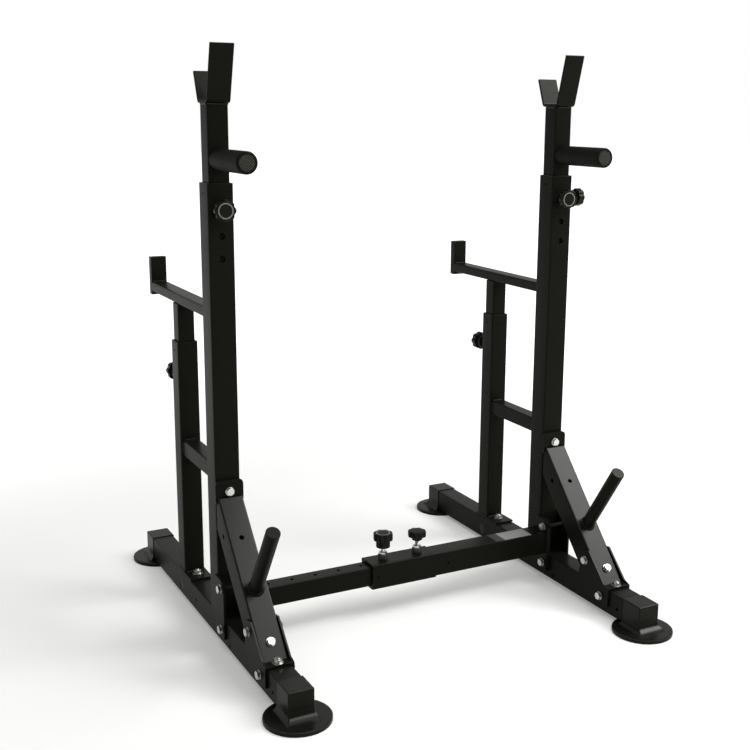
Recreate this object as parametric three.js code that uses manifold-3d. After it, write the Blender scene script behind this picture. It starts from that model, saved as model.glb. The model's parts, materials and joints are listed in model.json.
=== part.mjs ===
// A pair of adjustable squat stands: two footed uprights with bar catches, dip handles, weight pegs
// and rear spotter arms, joined low down by a telescoping crossbar.
// Millimetres, +Z up. X runs along the crossbar, and the lifter stands on the -Y side.

import * as THREE from 'three';
import { mergeVertices } from 'three/addons/utils/BufferGeometryUtils.js';
import Module from 'manifold-3d';

const wasm = await Module();
wasm.setup();

// Fits
const gap = 0.3;               // left between two pieces that touch or slide
const overrun = 20;            // how far a cutting tool reaches past what it cuts
const weldSink = 1;            // how deep a welded piece sinks into the one that carries it

// Whole stand
const standSpacing = 916;      // upright centre to upright centre
const railFront = 455;         // from the upright's axis to the front end of the foot rail
const railRear = 586;          // from the upright's axis to the rear end of the foot rail

// Foot rail
const railWidth = 57;
const railHeight = 63;
const railWall = 2;
const railGround = 10;         // floor to the underside of the rail
const tubeCorner = 4;          // outside corner radius of every rolled tube
const railHoleRadius = 4.5;
const railHoleShares = [       // small side holes: shares of the rail's front length and of its height
  [0.807, 0.413], [0.213, 0.206], [-0.33, 0.476],
];
const accessRadius = 14.5;     // hole in the rail side, under the rear post
const accessRise = 24;         // underside of the rail up to the middle of that hole
const plugLip = 2;             // how far the plug in that hole reaches behind the rail's wall
const plugBack = 1.5;          // thickness of that rim

// Rubber boots
const bootSide = 1.2;
const bootRoof = 1.7;
const bootEnd = 3;
const bootSleeve = 61;
const padRadius = 74;
const padHeight = 8;
const padStep = 2;             // height of the chamfered step round the top of the pad
const padStepInset = 5;
const padInset = 22.4;         // from the boot's end face back to the middle of the pad
const skirtHeight = 25;        // skirt that curves out from the sleeve to the pad
const skirtSide = 10;          // how far it spreads to each side, forward and back
const skirtFront = 25;
const skirtRear = 4;

// Main upright and the tube that slides in it
const uprightSize = 60;
const uprightWall = 2;
const uprightTop = 1083;
const uprightPinDrop = 56;     // mouth of the upright down to its lock plunger
const innerSize = 49;
const innerWall = 2;
const innerAbove = 173;        // how far the inner tube stands out of the upright
const innerTail = 77;          // its lowest height hole down to its end
const stepPitch = 50;          // spacing of the height holes
const liftSteps = 7;
const pinHoleRadius = 5;
const spareHoleRadius = 8;
const spareHoleDrop = 59;      // lock plunger down to the first open hole
const spareHoleCount = 2;
const snapHoleRadius = 3;
const snapHoleDrop = 21;       // from a tube's mouth down to the hole that its bush clips into

// Bushes in the tube mouths
const bushDepth = 38;
const bushLip = 1.5;

// Rear post, spotter arm and link
const postSetback = 269;       // upright axis to post axis
const postSize = 52;
const postWall = 2;
const postTop = 679;
const postPinDrop = 91;        // mouth of the rear post down to its lock plunger
const postInnerSize = 42;
const postInnerWall = 2;
const postInnerTail = 18;      // lowest height hole of the inner post down to its end
const postLiftSteps = 5;
const postDropSteps = 1;
const flangeThickness = 5;
const flangeFront = 80;        // from the post's axis to the front edge of its flange
const flangeRear = 30;
const flangeBolt = 46;         // from the post's axis forward to the flange bolt
const linkWidth = 40;
const linkHeight = 40;
const linkDrop = 268;          // mouth of the rear post down to the middle of the link
const linkWall = 2;
const armWidth = 40;
const armHeight = 26;
const armWall = 2;
const armAbove = 123;          // mouth of the rear post up to the top of the arm
const armRear = 471;           // from the upright's axis to the front face of the stop
const stopDepth = 20;
const stopHeight = 98;
const stopDrop = 8;            // how far the stop hangs below the arm
const armNose = 0.6;           // running gap between the arm's front end and the upright

// Flange under the upright, the ears that hold it on the rail, and the crossbar's end plates
const footFlange = 5;
const footFlangeFront = 48;    // from the upright's axis to the flange's front edge
const earSpread = 4.3;         // how far the ears stand out of the upright's sides
const earLap = 12;             // how far they reach back along its sides
const plateThickness = 4.7;
const plateFront = 77;         // from the upright's axis to the front edge of ears and plates
const lobeRear = 34;           // from the upright's axis to the rear edge of an end plate's lobe
const plateTop = 174;
const plateBottom = 31;
const plateCorner = 25;
const clampBoltPlace = 59;     // from the upright's axis forward to both clamping bolts
const upperBoltHeight = 152;
const lowerBoltHeight = 51;

// Diagonal brace
const braceWidth = 60;
const braceDepth = 64;
const braceWall = 2;
const braceTopHeight = 367;
const braceTopPlace = 47;      // from the upright's axis forward to the brace's top front edge
const braceFootPlace = 313;    // from the upright's axis forward to its bottom front edge
const braceHoleRadius = 6;
const braceFaceHoleRun = 101;  // along the brace from its top front edge to the hole in its face
const braceSideHoleRun = 80;
const bracketWidth = 68;
const bracketThickness = 10;
const bracketAbove = 39;       // top of the brace up to the top of its bracket
const bracketBelow = 17;
const bracketCorner = 9;
const bracketBoltRise = 13.5;

// Weight peg
const pegRadius = 16.5;
const pegWall = 2;
const pegLength = 203;
const pegLean = THREE.MathUtils.degToRad(33.2);     // away from the vertical
const pegRun = 225;            // along the brace from its top front edge to the peg
const pegWeld = 4;             // how far the weld round the peg spreads and rises

// Saddle bracket that holds the brace on the rail
const saddleThickness = 4;
const saddleBase = 5;
const saddleFront = 337;
const saddleRear = 214;
const saddleBottom = 31;
const saddleTop = 150;
const saddleOutlineShares = [  // each cheek's corners, as shares of its length and height
  [1, 0], [1, 0.395], [0.854, 0.445], [0.309, 1], [0.114, 0.966], [0, 0.395], [0.39, 0],
];
const saddleUpperPlace = 240;  // from the upright's axis forward to the bolt through the brace
const saddleUpperHeight = 122;
const saddleLowerPlace = 305;  // the same for the bolt through the rail
const saddleLowerHeight = 50;
const saddleFloorBolt = 325;
const tongueThickness = 3.5;
const tongueWidth = 44;
const tongueRise = 62;         // length of the tongue inside the brace
const faceBoltRise = 42;       // along the brace from its foot to the bolt in its face

// Bar catch and dip handle
const catchWidth = 54;
const catchPlate = 6;
const catchSeat = 58;          // flat bottom, front to back
const catchBend = 9;
const catchFrontRise = 121;
const catchFrontLean = 33;
const catchRearRise = 65;
const catchRearLean = 25;
const handleDrop = 120;        // top of the inner tube down to the handle's axis
const handleRadius = 24;
const handleLength = 175;
const handleRound = 3;
const handleCoreRadius = 14;
const handleCoreLength = 160;

// Crossbar
const barHeight = 109.5;
const barPlace = 42;           // from the upright's axis forward to the crossbar's axis
const barSize = 60;
const barWall = 2;
const barInnerSize = 49;
const barInnerWall = 2;
const barEndRoom = 1.7;        // left in front of the inner tube's free end when pushed right in
const collarSize = 65;
const collarLeft = 355.5;      // from the left upright's axis to the collar's open end
const collarLength = 181;
const collarLip = 3;
const barPitch = 62;
const barPinPlace = 44;        // from the collar's open end to the lock plunger
const barClampPlace = 141;     // from the collar's open end to the clamp screw
const barHolesInward = 5;
const barHolesOutward = 1;
const dimpleRadius = 3;        // small holes in the crossbar's front face
const collarDimple = 15;       // from the collar's open end
const barDimple = 37;          // from the collar's closed end

// Knobs, pins and bosses
const pinRadius = 4.5;
const stemRadius = 5.8;
const bossRadius = 10.7;
const bossHeight = 14;
const screwRadius = 5.2;
const lobes = 8;
const lobeDepth = 1.6;
const shortPull = { stem: 1.5, neckRadius: 15, neck: 4, headRadius: 25, head: 12.5 };
const tallPull = { stem: 21, neckRadius: 17.8, neck: 15, headRadius: 25, head: 19 };
const rearPull = { stem: 14, neckRadius: 17.8, neck: 15, headRadius: 25, head: 19 };
const barScrew = { stem: 23, neckRadius: 13, neck: 7, headRadius: 23.5, head: 15 };
const sideScrew = { stem: 10, neckRadius: 13, neck: 8, headRadius: 21.5, head: 18 };

// Hexagon bolts
const boltRadius = 5;
const boltHoleRadius = 5.6;
const boltFlats = 17;
const boltHead = 6.4;
const nutHeight = 8;
const washerRadius = 10.5;
const washerThickness = 2;
const threadEnd = 3;

// Facets round each kind of round shape
const fineSides = 30;
const roundSides = 20;
const plugSides = 12;
const boltSides = 12;
const hexSides = 6;
const cornerSteps = 1;
const bendSteps = 4;
const skirtSteps = 5;

const railTop = railGround + railHeight;
const barHalf = standSpacing / 2;
const uprightPinHeight = uprightTop - uprightPinDrop;
const innerTop = uprightTop + innerAbove;
const innerBottom = uprightPinHeight - liftSteps * stepPitch - innerTail;
const handleHeight = innerTop - handleDrop;
const postPinHeight = postTop - postPinDrop;
const postInnerBottom = postPinHeight - postLiftSteps * stepPitch - postInnerTail;
const armTop = postTop + armAbove;
const linkCentre = postTop - linkDrop;
const bracketTop = braceTopHeight + bracketAbove;
const bracketBottom = braceTopHeight - bracketBelow;
const bracketBoltHeight = braceTopHeight + bracketBoltRise;
const plateInside = uprightSize / 2 + earSpread + gap;
const clampReach = uprightSize / 2 + bossHeight + gap + sideScrew.stem + sideScrew.neck + sideScrew.head;

const paint = new THREE.MeshStandardMaterial({ color: 0x20211e, roughness: 0.45, metalness: 0.3 });
const zinc = new THREE.MeshStandardMaterial({ color: 0xb5b5b0, roughness: 0.3, metalness: 1 });
const rubber = new THREE.MeshStandardMaterial({ color: 0x1b1b19, roughness: 0.8, metalness: 0 });
const plastic = new THREE.MeshStandardMaterial({ color: 0x161615, roughness: 0.5, metalness: 0 });
const foam = new THREE.MeshStandardMaterial({ color: 0x2b2b29, roughness: 0.9, metalness: 0 });

const alongX = new THREE.Vector3(1, 0, 0);
const alongY = new THREE.Vector3(0, 1, 0);
const alongZ = new THREE.Vector3(0, 0, 1);

// Solids

function solidOf(geometry) {
  const bare = geometry.clone();
  bare.deleteAttribute('normal');
  bare.deleteAttribute('uv');
  const merged = mergeVertices(bare);
  return new wasm.Manifold(new wasm.Mesh({
    numProp: 3,
    vertProperties: new Float32Array(merged.attributes.position.array),
    triVerts: new Uint32Array(merged.index.array),
  }));
}

function geometryOf(solid) {
  const mesh = solid.getMesh();
  const geometry = new THREE.BufferGeometry();
  geometry.setAttribute('position', new THREE.BufferAttribute(new Float32Array(mesh.vertProperties), 3));
  geometry.setIndex(new THREE.BufferAttribute(new Uint32Array(mesh.triVerts), 1));
  geometry.computeVertexNormals();
  return geometry;
}

function join(first, ...others) {
  return geometryOf(others.reduce((whole, next) => whole.add(solidOf(next)), solidOf(first)));
}

function cutAway(body, ...tools) {
  return geometryOf(tools.reduce((rest, tool) => rest.subtract(solidOf(tool)), solidOf(body)));
}

function keepInside(body, limit) {
  return geometryOf(solidOf(body).intersect(solidOf(limit)));
}

// Basic shapes, each built along +Z from the origin

function rod(radius, length, sides = roundSides) {
  const geometry = new THREE.CylinderGeometry(radius, radius, length, sides);
  return geometry.rotateX(Math.PI / 2).translate(0, 0, length / 2);
}

function block(from, to) {
  const size = new THREE.Vector3().subVectors(to, from);
  const middle = new THREE.Vector3().addVectors(from, to).multiplyScalar(1 / 2);
  return new THREE.BoxGeometry(size.x, size.y, size.z).translate(middle.x, middle.y, middle.z);
}

function at(x, y, z) {
  return new THREE.Vector3(x, y, z);
}

function turnTo(geometry, direction) {
  return geometry.applyQuaternion(new THREE.Quaternion().setFromUnitVectors(alongZ, direction));
}

function placed(geometry, direction, spot) {
  return turnTo(geometry, direction).translate(spot.x, spot.y, spot.z);
}

function roundedOutline(Kind, width, height, corner) {
  const [right, top] = [width / 2 - corner, height / 2 - corner];
  const outline = new Kind();
  outline.absarc(right, top, corner, 0, Math.PI / 2);
  outline.absarc(-right, top, corner, Math.PI / 2, Math.PI);
  outline.absarc(-right, -top, corner, Math.PI, 3 * Math.PI / 2);
  outline.absarc(right, -top, corner, 3 * Math.PI / 2, 2 * Math.PI);
  return outline;
}

function prism(shape, length, curveSegments = cornerSteps) {
  return new THREE.ExtrudeGeometry(shape, { depth: length, bevelEnabled: false, curveSegments });
}

function boxTube(width, height, wall, length) {
  const outline = roundedOutline(THREE.Shape, width, height, tubeCorner);
  outline.holes.push(roundedOutline(THREE.Path, width - 2 * wall, height - 2 * wall, tubeCorner - wall / 2));
  return prism(outline, length);
}

// A rolled tube from one height to another, its width along X and its depth along Y.
function standingTube(width, depth, wall, bottom, top) {
  return boxTube(width, depth, wall, top - bottom).translate(0, 0, bottom);
}

// An outline drawn in the YZ plane, made thick along X about x = 0.
function sideways(outline, thickness) {
  return prism(outline, thickness, bendSteps).rotateX(Math.PI / 2).rotateZ(Math.PI / 2).translate(-thickness / 2, 0, 0);
}

// A bent strip: the outline of a plate that follows a line of corners with a bend at each of them.
function bentOutline(corners, thickness, bendRadius) {
  const line = [];
  corners.forEach((corner, index) => {
    if (index === 0 || index === corners.length - 1) {
      line.push(corner);
      return;
    }
    const before = corners[index - 1].clone().sub(corner).normalize();
    const after = corners[index + 1].clone().sub(corner).normalize();
    const reach = bendRadius / Math.tan(before.angleTo(after) / 2);
    const arc = new THREE.QuadraticBezierCurve(
      corner.clone().addScaledVector(before, reach), corner, corner.clone().addScaledVector(after, reach));
    line.push(...arc.getPoints(bendSteps));
  });
  const sideOf = (sign) => line.map((point, index) => {
    const ahead = line[Math.min(index + 1, line.length - 1)];
    const behind = line[Math.max(index - 1, 0)];
    const along = ahead.clone().sub(behind).normalize();
    return new THREE.Vector2(point.x - sign * along.y * thickness / 2, point.y + sign * along.x * thickness / 2);
  });
  return new THREE.Shape([...sideOf(-1), ...sideOf(1).reverse()]);
}

// Fasteners: the head lies on the z = 0 face, and the nut under a pack as thick as the grip.

function hexagon(height) {
  return rod(boltFlats / Math.sqrt(3), height, hexSides);
}

function bolt(grip) {
  const underNut = grip + 2 * gap + washerThickness;
  const shank = rod(boltRadius, underNut + nutHeight + threadEnd + washerThickness + weldSink, boltSides);
  return join(
    shank.translate(0, 0, -underNut - nutHeight - threadEnd),
    rod(washerRadius, washerThickness, boltSides),
    hexagon(boltHead + weldSink).translate(0, 0, washerThickness - weldSink),
    rod(washerRadius, washerThickness, boltSides).translate(0, 0, -underNut),
    hexagon(nutHeight + weldSink).translate(0, 0, -underNut - nutHeight),
  );
}

function boltHole(direction, spot, depth) {
  return placed(rod(boltHoleRadius, depth + 2 * overrun, boltSides).translate(0, 0, -depth - overrun), direction, spot);
}

// Knobs: the foot of the boss lies on z = 0, and the knob stands out along +Z.

function lobedHead(radius, height) {
  const points = [];
  const steps = lobes * 4;
  for (let step = 0; step < steps; step += 1) {
    const turn = 2 * Math.PI * step / steps;
    const reach = radius - lobeDepth * (1 - Math.cos(lobes * turn)) / 2;
    points.push(new THREE.Vector2(reach * Math.cos(turn), reach * Math.sin(turn)));
  }
  return prism(new THREE.Shape(points), height);
}

function knob(form, shaftRadius, tip) {
  const foot = bossHeight + gap;
  const neckAt = foot + form.stem;
  const headAt = neckAt + form.neck;
  return join(
    rod(shaftRadius, tip + foot + form.stem + weldSink, boltSides).translate(0, 0, -tip),
    rod(stemRadius, form.stem + weldSink, boltSides).translate(0, 0, foot),
    rod(form.neckRadius, form.neck + weldSink).translate(0, 0, neckAt),
    lobedHead(form.headRadius, form.head).translate(0, 0, headAt),
  );
}

function boss() {
  return rod(bossRadius, bossHeight + weldSink).translate(0, 0, -weldSink);
}

function bossBore(shaftRadius, depth) {
  return rod(shaftRadius + gap, depth + bossHeight + overrun, boltSides).translate(0, 0, -depth);
}

// Adds a boss to a tube and bores it through the tube's wall.
function withBoss(tube, shaftRadius, wallDepth, direction, spot) {
  return cutAway(
    join(tube, placed(boss(), direction, spot)),
    placed(bossBore(shaftRadius, wallDepth + weldSink), direction, spot),
  );
}

// A row of round holes through one wall of a tube.
function holeRow(radius, depth, direction, spots) {
  return spots.map((spot) => placed(
    rod(radius, depth + overrun, boltSides).translate(0, 0, -depth), direction, spot));
}

// Foot

function footRail() {
  const length = railFront + railRear - 2 * bootEnd - 2 * gap;
  const tube = boxTube(railHeight, railWidth, railWall, length)
    .rotateY(Math.PI / 2).rotateZ(Math.PI / 2)
    .translate(0, -railFront + bootEnd + gap, railGround + railHeight / 2);
  const side = railWidth / 2;
  const across = alongX.clone().negate();
  const smallHoles = railHoleShares.map(([forward, up]) => at(
    -side, -forward * railFront, railGround + up * railHeight));
  return cutAway(
    tube,
    ...holeRow(railHoleRadius, railWidth + overrun, across, smallHoles),
    placed(rod(accessRadius, side + overrun, plugSides).translate(0, 0, -side), across,
      at(-side, postSetback, railGround + accessRise)),
    boltHole(alongX, at(side, -clampBoltPlace, lowerBoltHeight), railWidth),
    boltHole(alongX, at(side, -saddleLowerPlace, saddleLowerHeight), railWidth),
    boltHole(alongZ, at(0, -saddleFloorBolt, railTop), railWall),
    boltHole(alongZ, at(0, postSetback - flangeBolt, railTop), railWall),
  );
}

// A push-in plug, flush with the rail's side and held by a rim behind its wall.
function railPlug() {
  const wall = -railWall - gap;
  const profile = [
    [0, 0], [accessRadius - gap, 0], [accessRadius - gap, wall],
    [accessRadius + plugLip, wall], [accessRadius + plugLip, wall - plugBack], [0, wall - plugBack],
  ].reverse().map(([radius, height]) => new THREE.Vector2(radius, height));
  return placed(
    new THREE.LatheGeometry(profile, plugSides).rotateX(Math.PI / 2),
    alongX.clone().negate(), at(-railWidth / 2, postSetback, railGround + accessRise));
}

// The skirt's walls run out in a hollow curve, steep at the sleeve and flat on the pad.
function bootSkirt(half) {
  const foot = padHeight + padStep - weldSink;
  const skirt = new THREE.BoxGeometry(2 * half, bootSleeve, skirtHeight, 1, 1, skirtSteps)
    .translate(0, bootSleeve / 2, foot + skirtHeight / 2);
  const spots = skirt.attributes.position;
  for (let index = 0; index < spots.count; index += 1) {
    const spread = (1 - (spots.getZ(index) - foot) / skirtHeight) ** 3;
    const ahead = spots.getY(index) < bootSleeve / 2 ? -skirtFront : skirtRear;
    spots.setX(index, spots.getX(index) + Math.sign(spots.getX(index)) * spread * skirtSide);
    spots.setY(index, spots.getY(index) + spread * ahead);
  }
  return skirt;
}

// A boot on the rail end that points along -Y, its end face at y = 0.
function boot() {
  const half = railWidth / 2 + gap + bootSide;
  const top = railTop + gap + bootRoof;
  const disc = new THREE.LatheGeometry([
    new THREE.Vector2(0, 0),
    new THREE.Vector2(padRadius, 0),
    new THREE.Vector2(padRadius, padHeight),
    new THREE.Vector2(padRadius - padStepInset, padHeight + padStep),
    new THREE.Vector2(0, padHeight + padStep),
  ], fineSides).rotateX(Math.PI / 2).translate(0, padInset, 0);
  const sleeve = block(at(-half, 0, padHeight), at(half, bootSleeve, top));
  const pocket = block(
    at(-railWidth / 2 - gap, bootEnd, railGround - gap),
    at(railWidth / 2 + gap, bootSleeve + skirtRear + overrun, railTop + gap),
  );
  return cutAway(join(disc, bootSkirt(half), sleeve), pocket);
}

// Plates in front of the upright have a top front corner rounded like this, seen from the side.
function roundedTop(outline) {
  outline.absarc(-plateFront + plateCorner, plateTop - plateCorner, plateCorner, Math.PI / 2, Math.PI);
  return outline;
}

// An ear of the upright: it stands beside the rail, and in front of the upright.
function ear(side) {
  const near = railWidth / 2 + gap;
  const far = uprightSize / 2 + earSpread;
  const rear = -uprightSize / 2 + earLap;
  const outline = new THREE.Shape();
  outline.moveTo(-plateFront, plateBottom);
  outline.lineTo(rear, plateBottom);
  outline.lineTo(rear, plateTop);
  return sideways(roundedTop(outline), far - near).translate(side * (far + near) / 2, 0, 0);
}

// The holes of the two bolts that clamp the crossbar's end plates to the ears.
function clampHoles() {
  const reach = plateInside + plateThickness;
  return [upperBoltHeight, lowerBoltHeight].map((height) => boltHole(
    alongX, at(reach, -clampBoltPlace, height), 2 * reach));
}

// Fills the step between a plate beside a 60 mm piece and the side of the rail.
function sidePad(outward, front, rear, bottom) {
  const [near, far] = [railWidth / 2 + gap, uprightSize / 2 + gap + weldSink];
  const [left, right] = outward > 0 ? [near, far] : [-far, -near];
  return block(at(left, front, bottom), at(right, rear, railTop));
}

// Upright

function outerUpright(hasSideClamp) {
  const half = uprightSize / 2;
  const front = alongY.clone().negate();
  const wallDepth = half - (uprightSize / 2 - uprightWall) + gap;
  const foot = railTop + gap;
  const flange = block(at(-half, -footFlangeFront, foot), at(half, half, foot + footFlange));
  const spares = Array.from({ length: spareHoleCount }, (_, step) => at(
    0, -half, uprightPinHeight - spareHoleDrop - step * stepPitch));
  const mast = standingTube(uprightSize, uprightSize, uprightWall, foot + weldSink, uprightTop);
  let tube = join(mast, flange, ear(-1), ear(1));
  tube = withBoss(tube, pinRadius, wallDepth, front, at(0, -half, uprightPinHeight));
  if (hasSideClamp) {
    tube = withBoss(tube, screwRadius, wallDepth, alongX, at(half, 0, uprightPinHeight));
  }
  return cutAway(
    tube,
    ...holeRow(spareHoleRadius, uprightWall + gap, front, spares),
    ...clampHoles(),
    placed(rod(snapHoleRadius, uprightSize + 2 * overrun, boltSides), alongX,
      at(-half - overrun, 0, uprightTop - snapHoleDrop)),
    boltHole(front, at(0, -half, bracketBoltHeight), uprightWall),
  );
}

function bush(outerSize, wall, slidingSize, top) {
  const shell = outerSize - 2 * wall - 2 * gap;
  const bore = slidingSize + 2 * gap;
  const sleeve = prism(roundedOutline(THREE.Shape, shell, shell, tubeCorner - wall / 2), bushDepth + gap)
    .translate(0, 0, top - bushDepth);
  const lip = prism(roundedOutline(THREE.Shape, outerSize, outerSize, tubeCorner), bushLip)
    .translate(0, 0, top + gap);
  const hole = prism(roundedOutline(THREE.Shape, bore, bore, tubeCorner), bushDepth + 2 * overrun)
    .translate(0, 0, top - bushDepth - overrun);
  return cutAway(join(sleeve, lip), hole);
}

function innerUpright() {
  const half = innerSize / 2;
  const front = alongY.clone().negate();
  const heights = Array.from({ length: liftSteps + 1 }, (_, step) => uprightPinHeight - step * stepPitch);
  const tube = standingTube(innerSize, innerSize, innerWall, innerBottom, innerTop);
  const core = placed(rod(handleCoreRadius, handleCoreLength + weldSink), front, at(0, -half + weldSink, handleHeight));
  return cutAway(
    join(tube, core),
    ...holeRow(pinHoleRadius, innerWall + gap, front, heights.map((height) => at(0, -half, height))),
  );
}

function barCatch() {
  const floor = innerTop + gap + catchPlate / 2;
  const corners = [
    new THREE.Vector2(-catchSeat / 2 - catchFrontLean, floor + catchFrontRise),
    new THREE.Vector2(-catchSeat / 2, floor),
    new THREE.Vector2(catchSeat / 2, floor),
    new THREE.Vector2(catchSeat / 2 + catchRearLean, floor + catchRearRise),
  ];
  return sideways(bentOutline(corners, catchPlate, catchBend), catchWidth);
}

function handleGrip() {
  const [inner, outer, end] = [handleCoreRadius + gap, handleRadius, handleLength];
  const profile = [
    [inner, 0], [outer - handleRound, 0], [outer, handleRound], [outer, end - handleRound],
    [outer - handleRound, end], [0, end], [0, handleCoreLength + gap], [inner, handleCoreLength + gap], [inner, 0],
  ].map(([radius, height]) => new THREE.Vector2(radius, height));
  return placed(
    new THREE.LatheGeometry(profile, fineSides).rotateX(Math.PI / 2),
    alongY.clone().negate(), at(0, -innerSize / 2 - gap, handleHeight));
}

// Rear post

function outerPost() {
  const half = postSize / 2;
  const foot = railTop + gap;
  const flange = block(
    at(-railWidth / 2, -flangeFront, foot),
    at(railWidth / 2, flangeRear, foot + flangeThickness),
  );
  const tube = standingTube(postSize, postSize, postWall, foot + weldSink, postTop);
  const welded = join(tube, flange);
  return cutAway(
    withBoss(welded, pinRadius, postWall + gap, alongY, at(0, half, postPinHeight)),
    placed(rod(snapHoleRadius, postSize + 2 * overrun, boltSides), alongX,
      at(-half - overrun, 0, postTop - snapHoleDrop)),
    ...holeRow(snapHoleRadius, postWall + gap, alongY.clone().negate(), [at(0, -half, postTop - snapHoleDrop)]),
    boltHole(alongZ, at(0, -flangeBolt, foot + flangeThickness), flangeThickness),
  );
}

function innerPost() {
  const half = postInnerSize / 2;
  const count = postLiftSteps + postDropSteps + 1;
  const top = armTop - armHeight - gap;
  const heights = Array.from({ length: count }, (_, step) => postPinHeight + (postDropSteps - step) * stepPitch);
  const tube = standingTube(postInnerSize, postInnerSize, postInnerWall, postInnerBottom, top);
  return cutAway(
    tube,
    ...holeRow(pinHoleRadius, postInnerWall + gap, alongY, heights.map((height) => at(0, half, height))),
  );
}

// The arm runs back from the upright to the stop that keeps the bar on it.
function spotterArm() {
  const start = uprightSize / 2 + armNose;
  const tube = boxTube(armHeight, armWidth, armWall, armRear - start + weldSink)
    .rotateY(Math.PI / 2).rotateZ(Math.PI / 2)
    .translate(0, start - postSetback, armTop - armHeight / 2);
  const bottom = armTop - armHeight - stopDrop;
  const rear = armRear - postSetback;
  const stop = block(at(-armWidth / 2, rear, bottom), at(armWidth / 2, rear + stopDepth, bottom + stopHeight));
  const hollow = block(
    at(-armWidth / 2 + armWall, rear + armWall, bottom - overrun),
    at(armWidth / 2 - armWall, rear + stopDepth - armWall, bottom + stopHeight - armWall),
  );
  return join(tube, cutAway(stop, hollow));
}

function linkTube() {
  const start = uprightSize / 2 + gap;
  const end = postSetback - postSize / 2 - gap;
  return boxTube(linkHeight, linkWidth, linkWall, end - start)
    .rotateY(Math.PI / 2).rotateZ(Math.PI / 2)
    .translate(0, start, linkCentre);
}

// Brace: built along its own axis, then leaned. Its frame has +Z up the brace and -Y square to its face.

const braceFoot = railTop + gap + saddleBase + gap;
const braceLean = Math.atan2(braceFootPlace - braceTopPlace, braceTopHeight - braceFoot);
const braceSlope = { up: Math.cos(braceLean), out: Math.sin(braceLean) };
const braceRun = (braceTopHeight - braceFoot) / braceSlope.up;
const faceBoltRun = braceRun - faceBoltRise;

function braceSpot(run, outward = 0) {
  const forward = braceTopPlace + run * braceSlope.out + outward * braceSlope.up;
  const height = braceTopHeight - run * braceSlope.up + outward * braceSlope.out;
  return at(0, -forward, height);
}

const braceNormal = new THREE.Vector3(0, -braceSlope.up, braceSlope.out);
const braceHead = uprightSize / 2 + gap + bracketThickness / 2;

// A leaning prism cut level at its foot and top, and upright at its head.
function leaningPrism(outline, top) {
  const start = braceSpot(braceRun + braceDepth, -braceDepth / 2);
  const leaning = prism(outline, braceRun + 2 * braceDepth).rotateX(-braceLean).translate(start.x, start.y, start.z);
  return keepInside(leaning, block(
    at(-braceWidth, 2 * start.y, braceFoot),
    at(braceWidth, -braceHead, top),
  ));
}

function brace() {
  const inner = [braceWidth - 2 * braceWall, braceDepth - 2 * braceWall, tubeCorner - braceWall / 2];
  const outside = leaningPrism(roundedOutline(THREE.Shape, braceWidth, braceDepth, tubeCorner), braceTopHeight);
  const inside = leaningPrism(roundedOutline(THREE.Shape, ...inner), braceTopHeight - braceWall);
  const mouths = [
    inside.clone().translate(0, 0, -braceWall),
    inside.clone().translate(0, braceWall, 0),
  ];
  const plate = prism(
    roundedOutline(THREE.Shape, bracketWidth, bracketTop - bracketBottom, bracketCorner), bracketThickness)
    .rotateX(Math.PI / 2)
    .translate(0, -uprightSize / 2 - gap, (bracketTop + bracketBottom) / 2);
  const front = alongY.clone().negate();
  return cutAway(
    join(cutAway(outside, inside, ...mouths), plate),
    boltHole(front, at(0, -uprightSize / 2 - gap - bracketThickness, bracketBoltHeight), bracketThickness),
    placed(rod(braceHoleRadius, braceWall + overrun + gap, boltSides).translate(0, 0, -braceWall - gap),
      braceNormal, braceSpot(braceFaceHoleRun)),
    placed(rod(braceHoleRadius, 2 * braceWidth, boltSides).translate(0, 0, -braceWidth),
      alongX, braceSpot(braceSideHoleRun, -braceDepth / 2)),
    boltHole(alongX, at(braceWidth / 2, -saddleUpperPlace, saddleUpperHeight), braceWidth),
    boltHole(braceNormal, braceSpot(faceBoltRun), braceWall),
  );
}

// The peg stands along +Z, with its foot cut to lie on the brace's face and a weld round it.
function weightPeg() {
  const tilt = Math.PI / 2 - braceLean - pegLean;
  const foot = pegRadius * Math.tan(Math.abs(tilt)) + gap;
  const [outer, end, edge] = [pegRadius, pegLength, pegWall / 2];
  const profile = [[0, -foot], [outer, -foot], [outer, end - edge], [outer - edge, end], [0, end]];
  const cone = [[0, 0], [outer + pegWeld, 0], [outer, pegWeld], [0, pegWeld]];
  const turned = (points) => new THREE.LatheGeometry(
    points.map(([radius, height]) => new THREE.Vector2(radius, height)), roundSides).rotateX(Math.PI / 2);
  const weld = turned(cone).translate(0, 0, gap).rotateX(tilt);
  const above = block(at(-end, -end, gap), at(end, end, 2 * end)).rotateX(tilt);
  const bore = rod(pegRadius - pegWall, foot + end - pegWall + overrun).translate(0, 0, -foot - overrun);
  return cutAway(keepInside(join(turned(profile), weld), above), bore);
}

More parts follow.
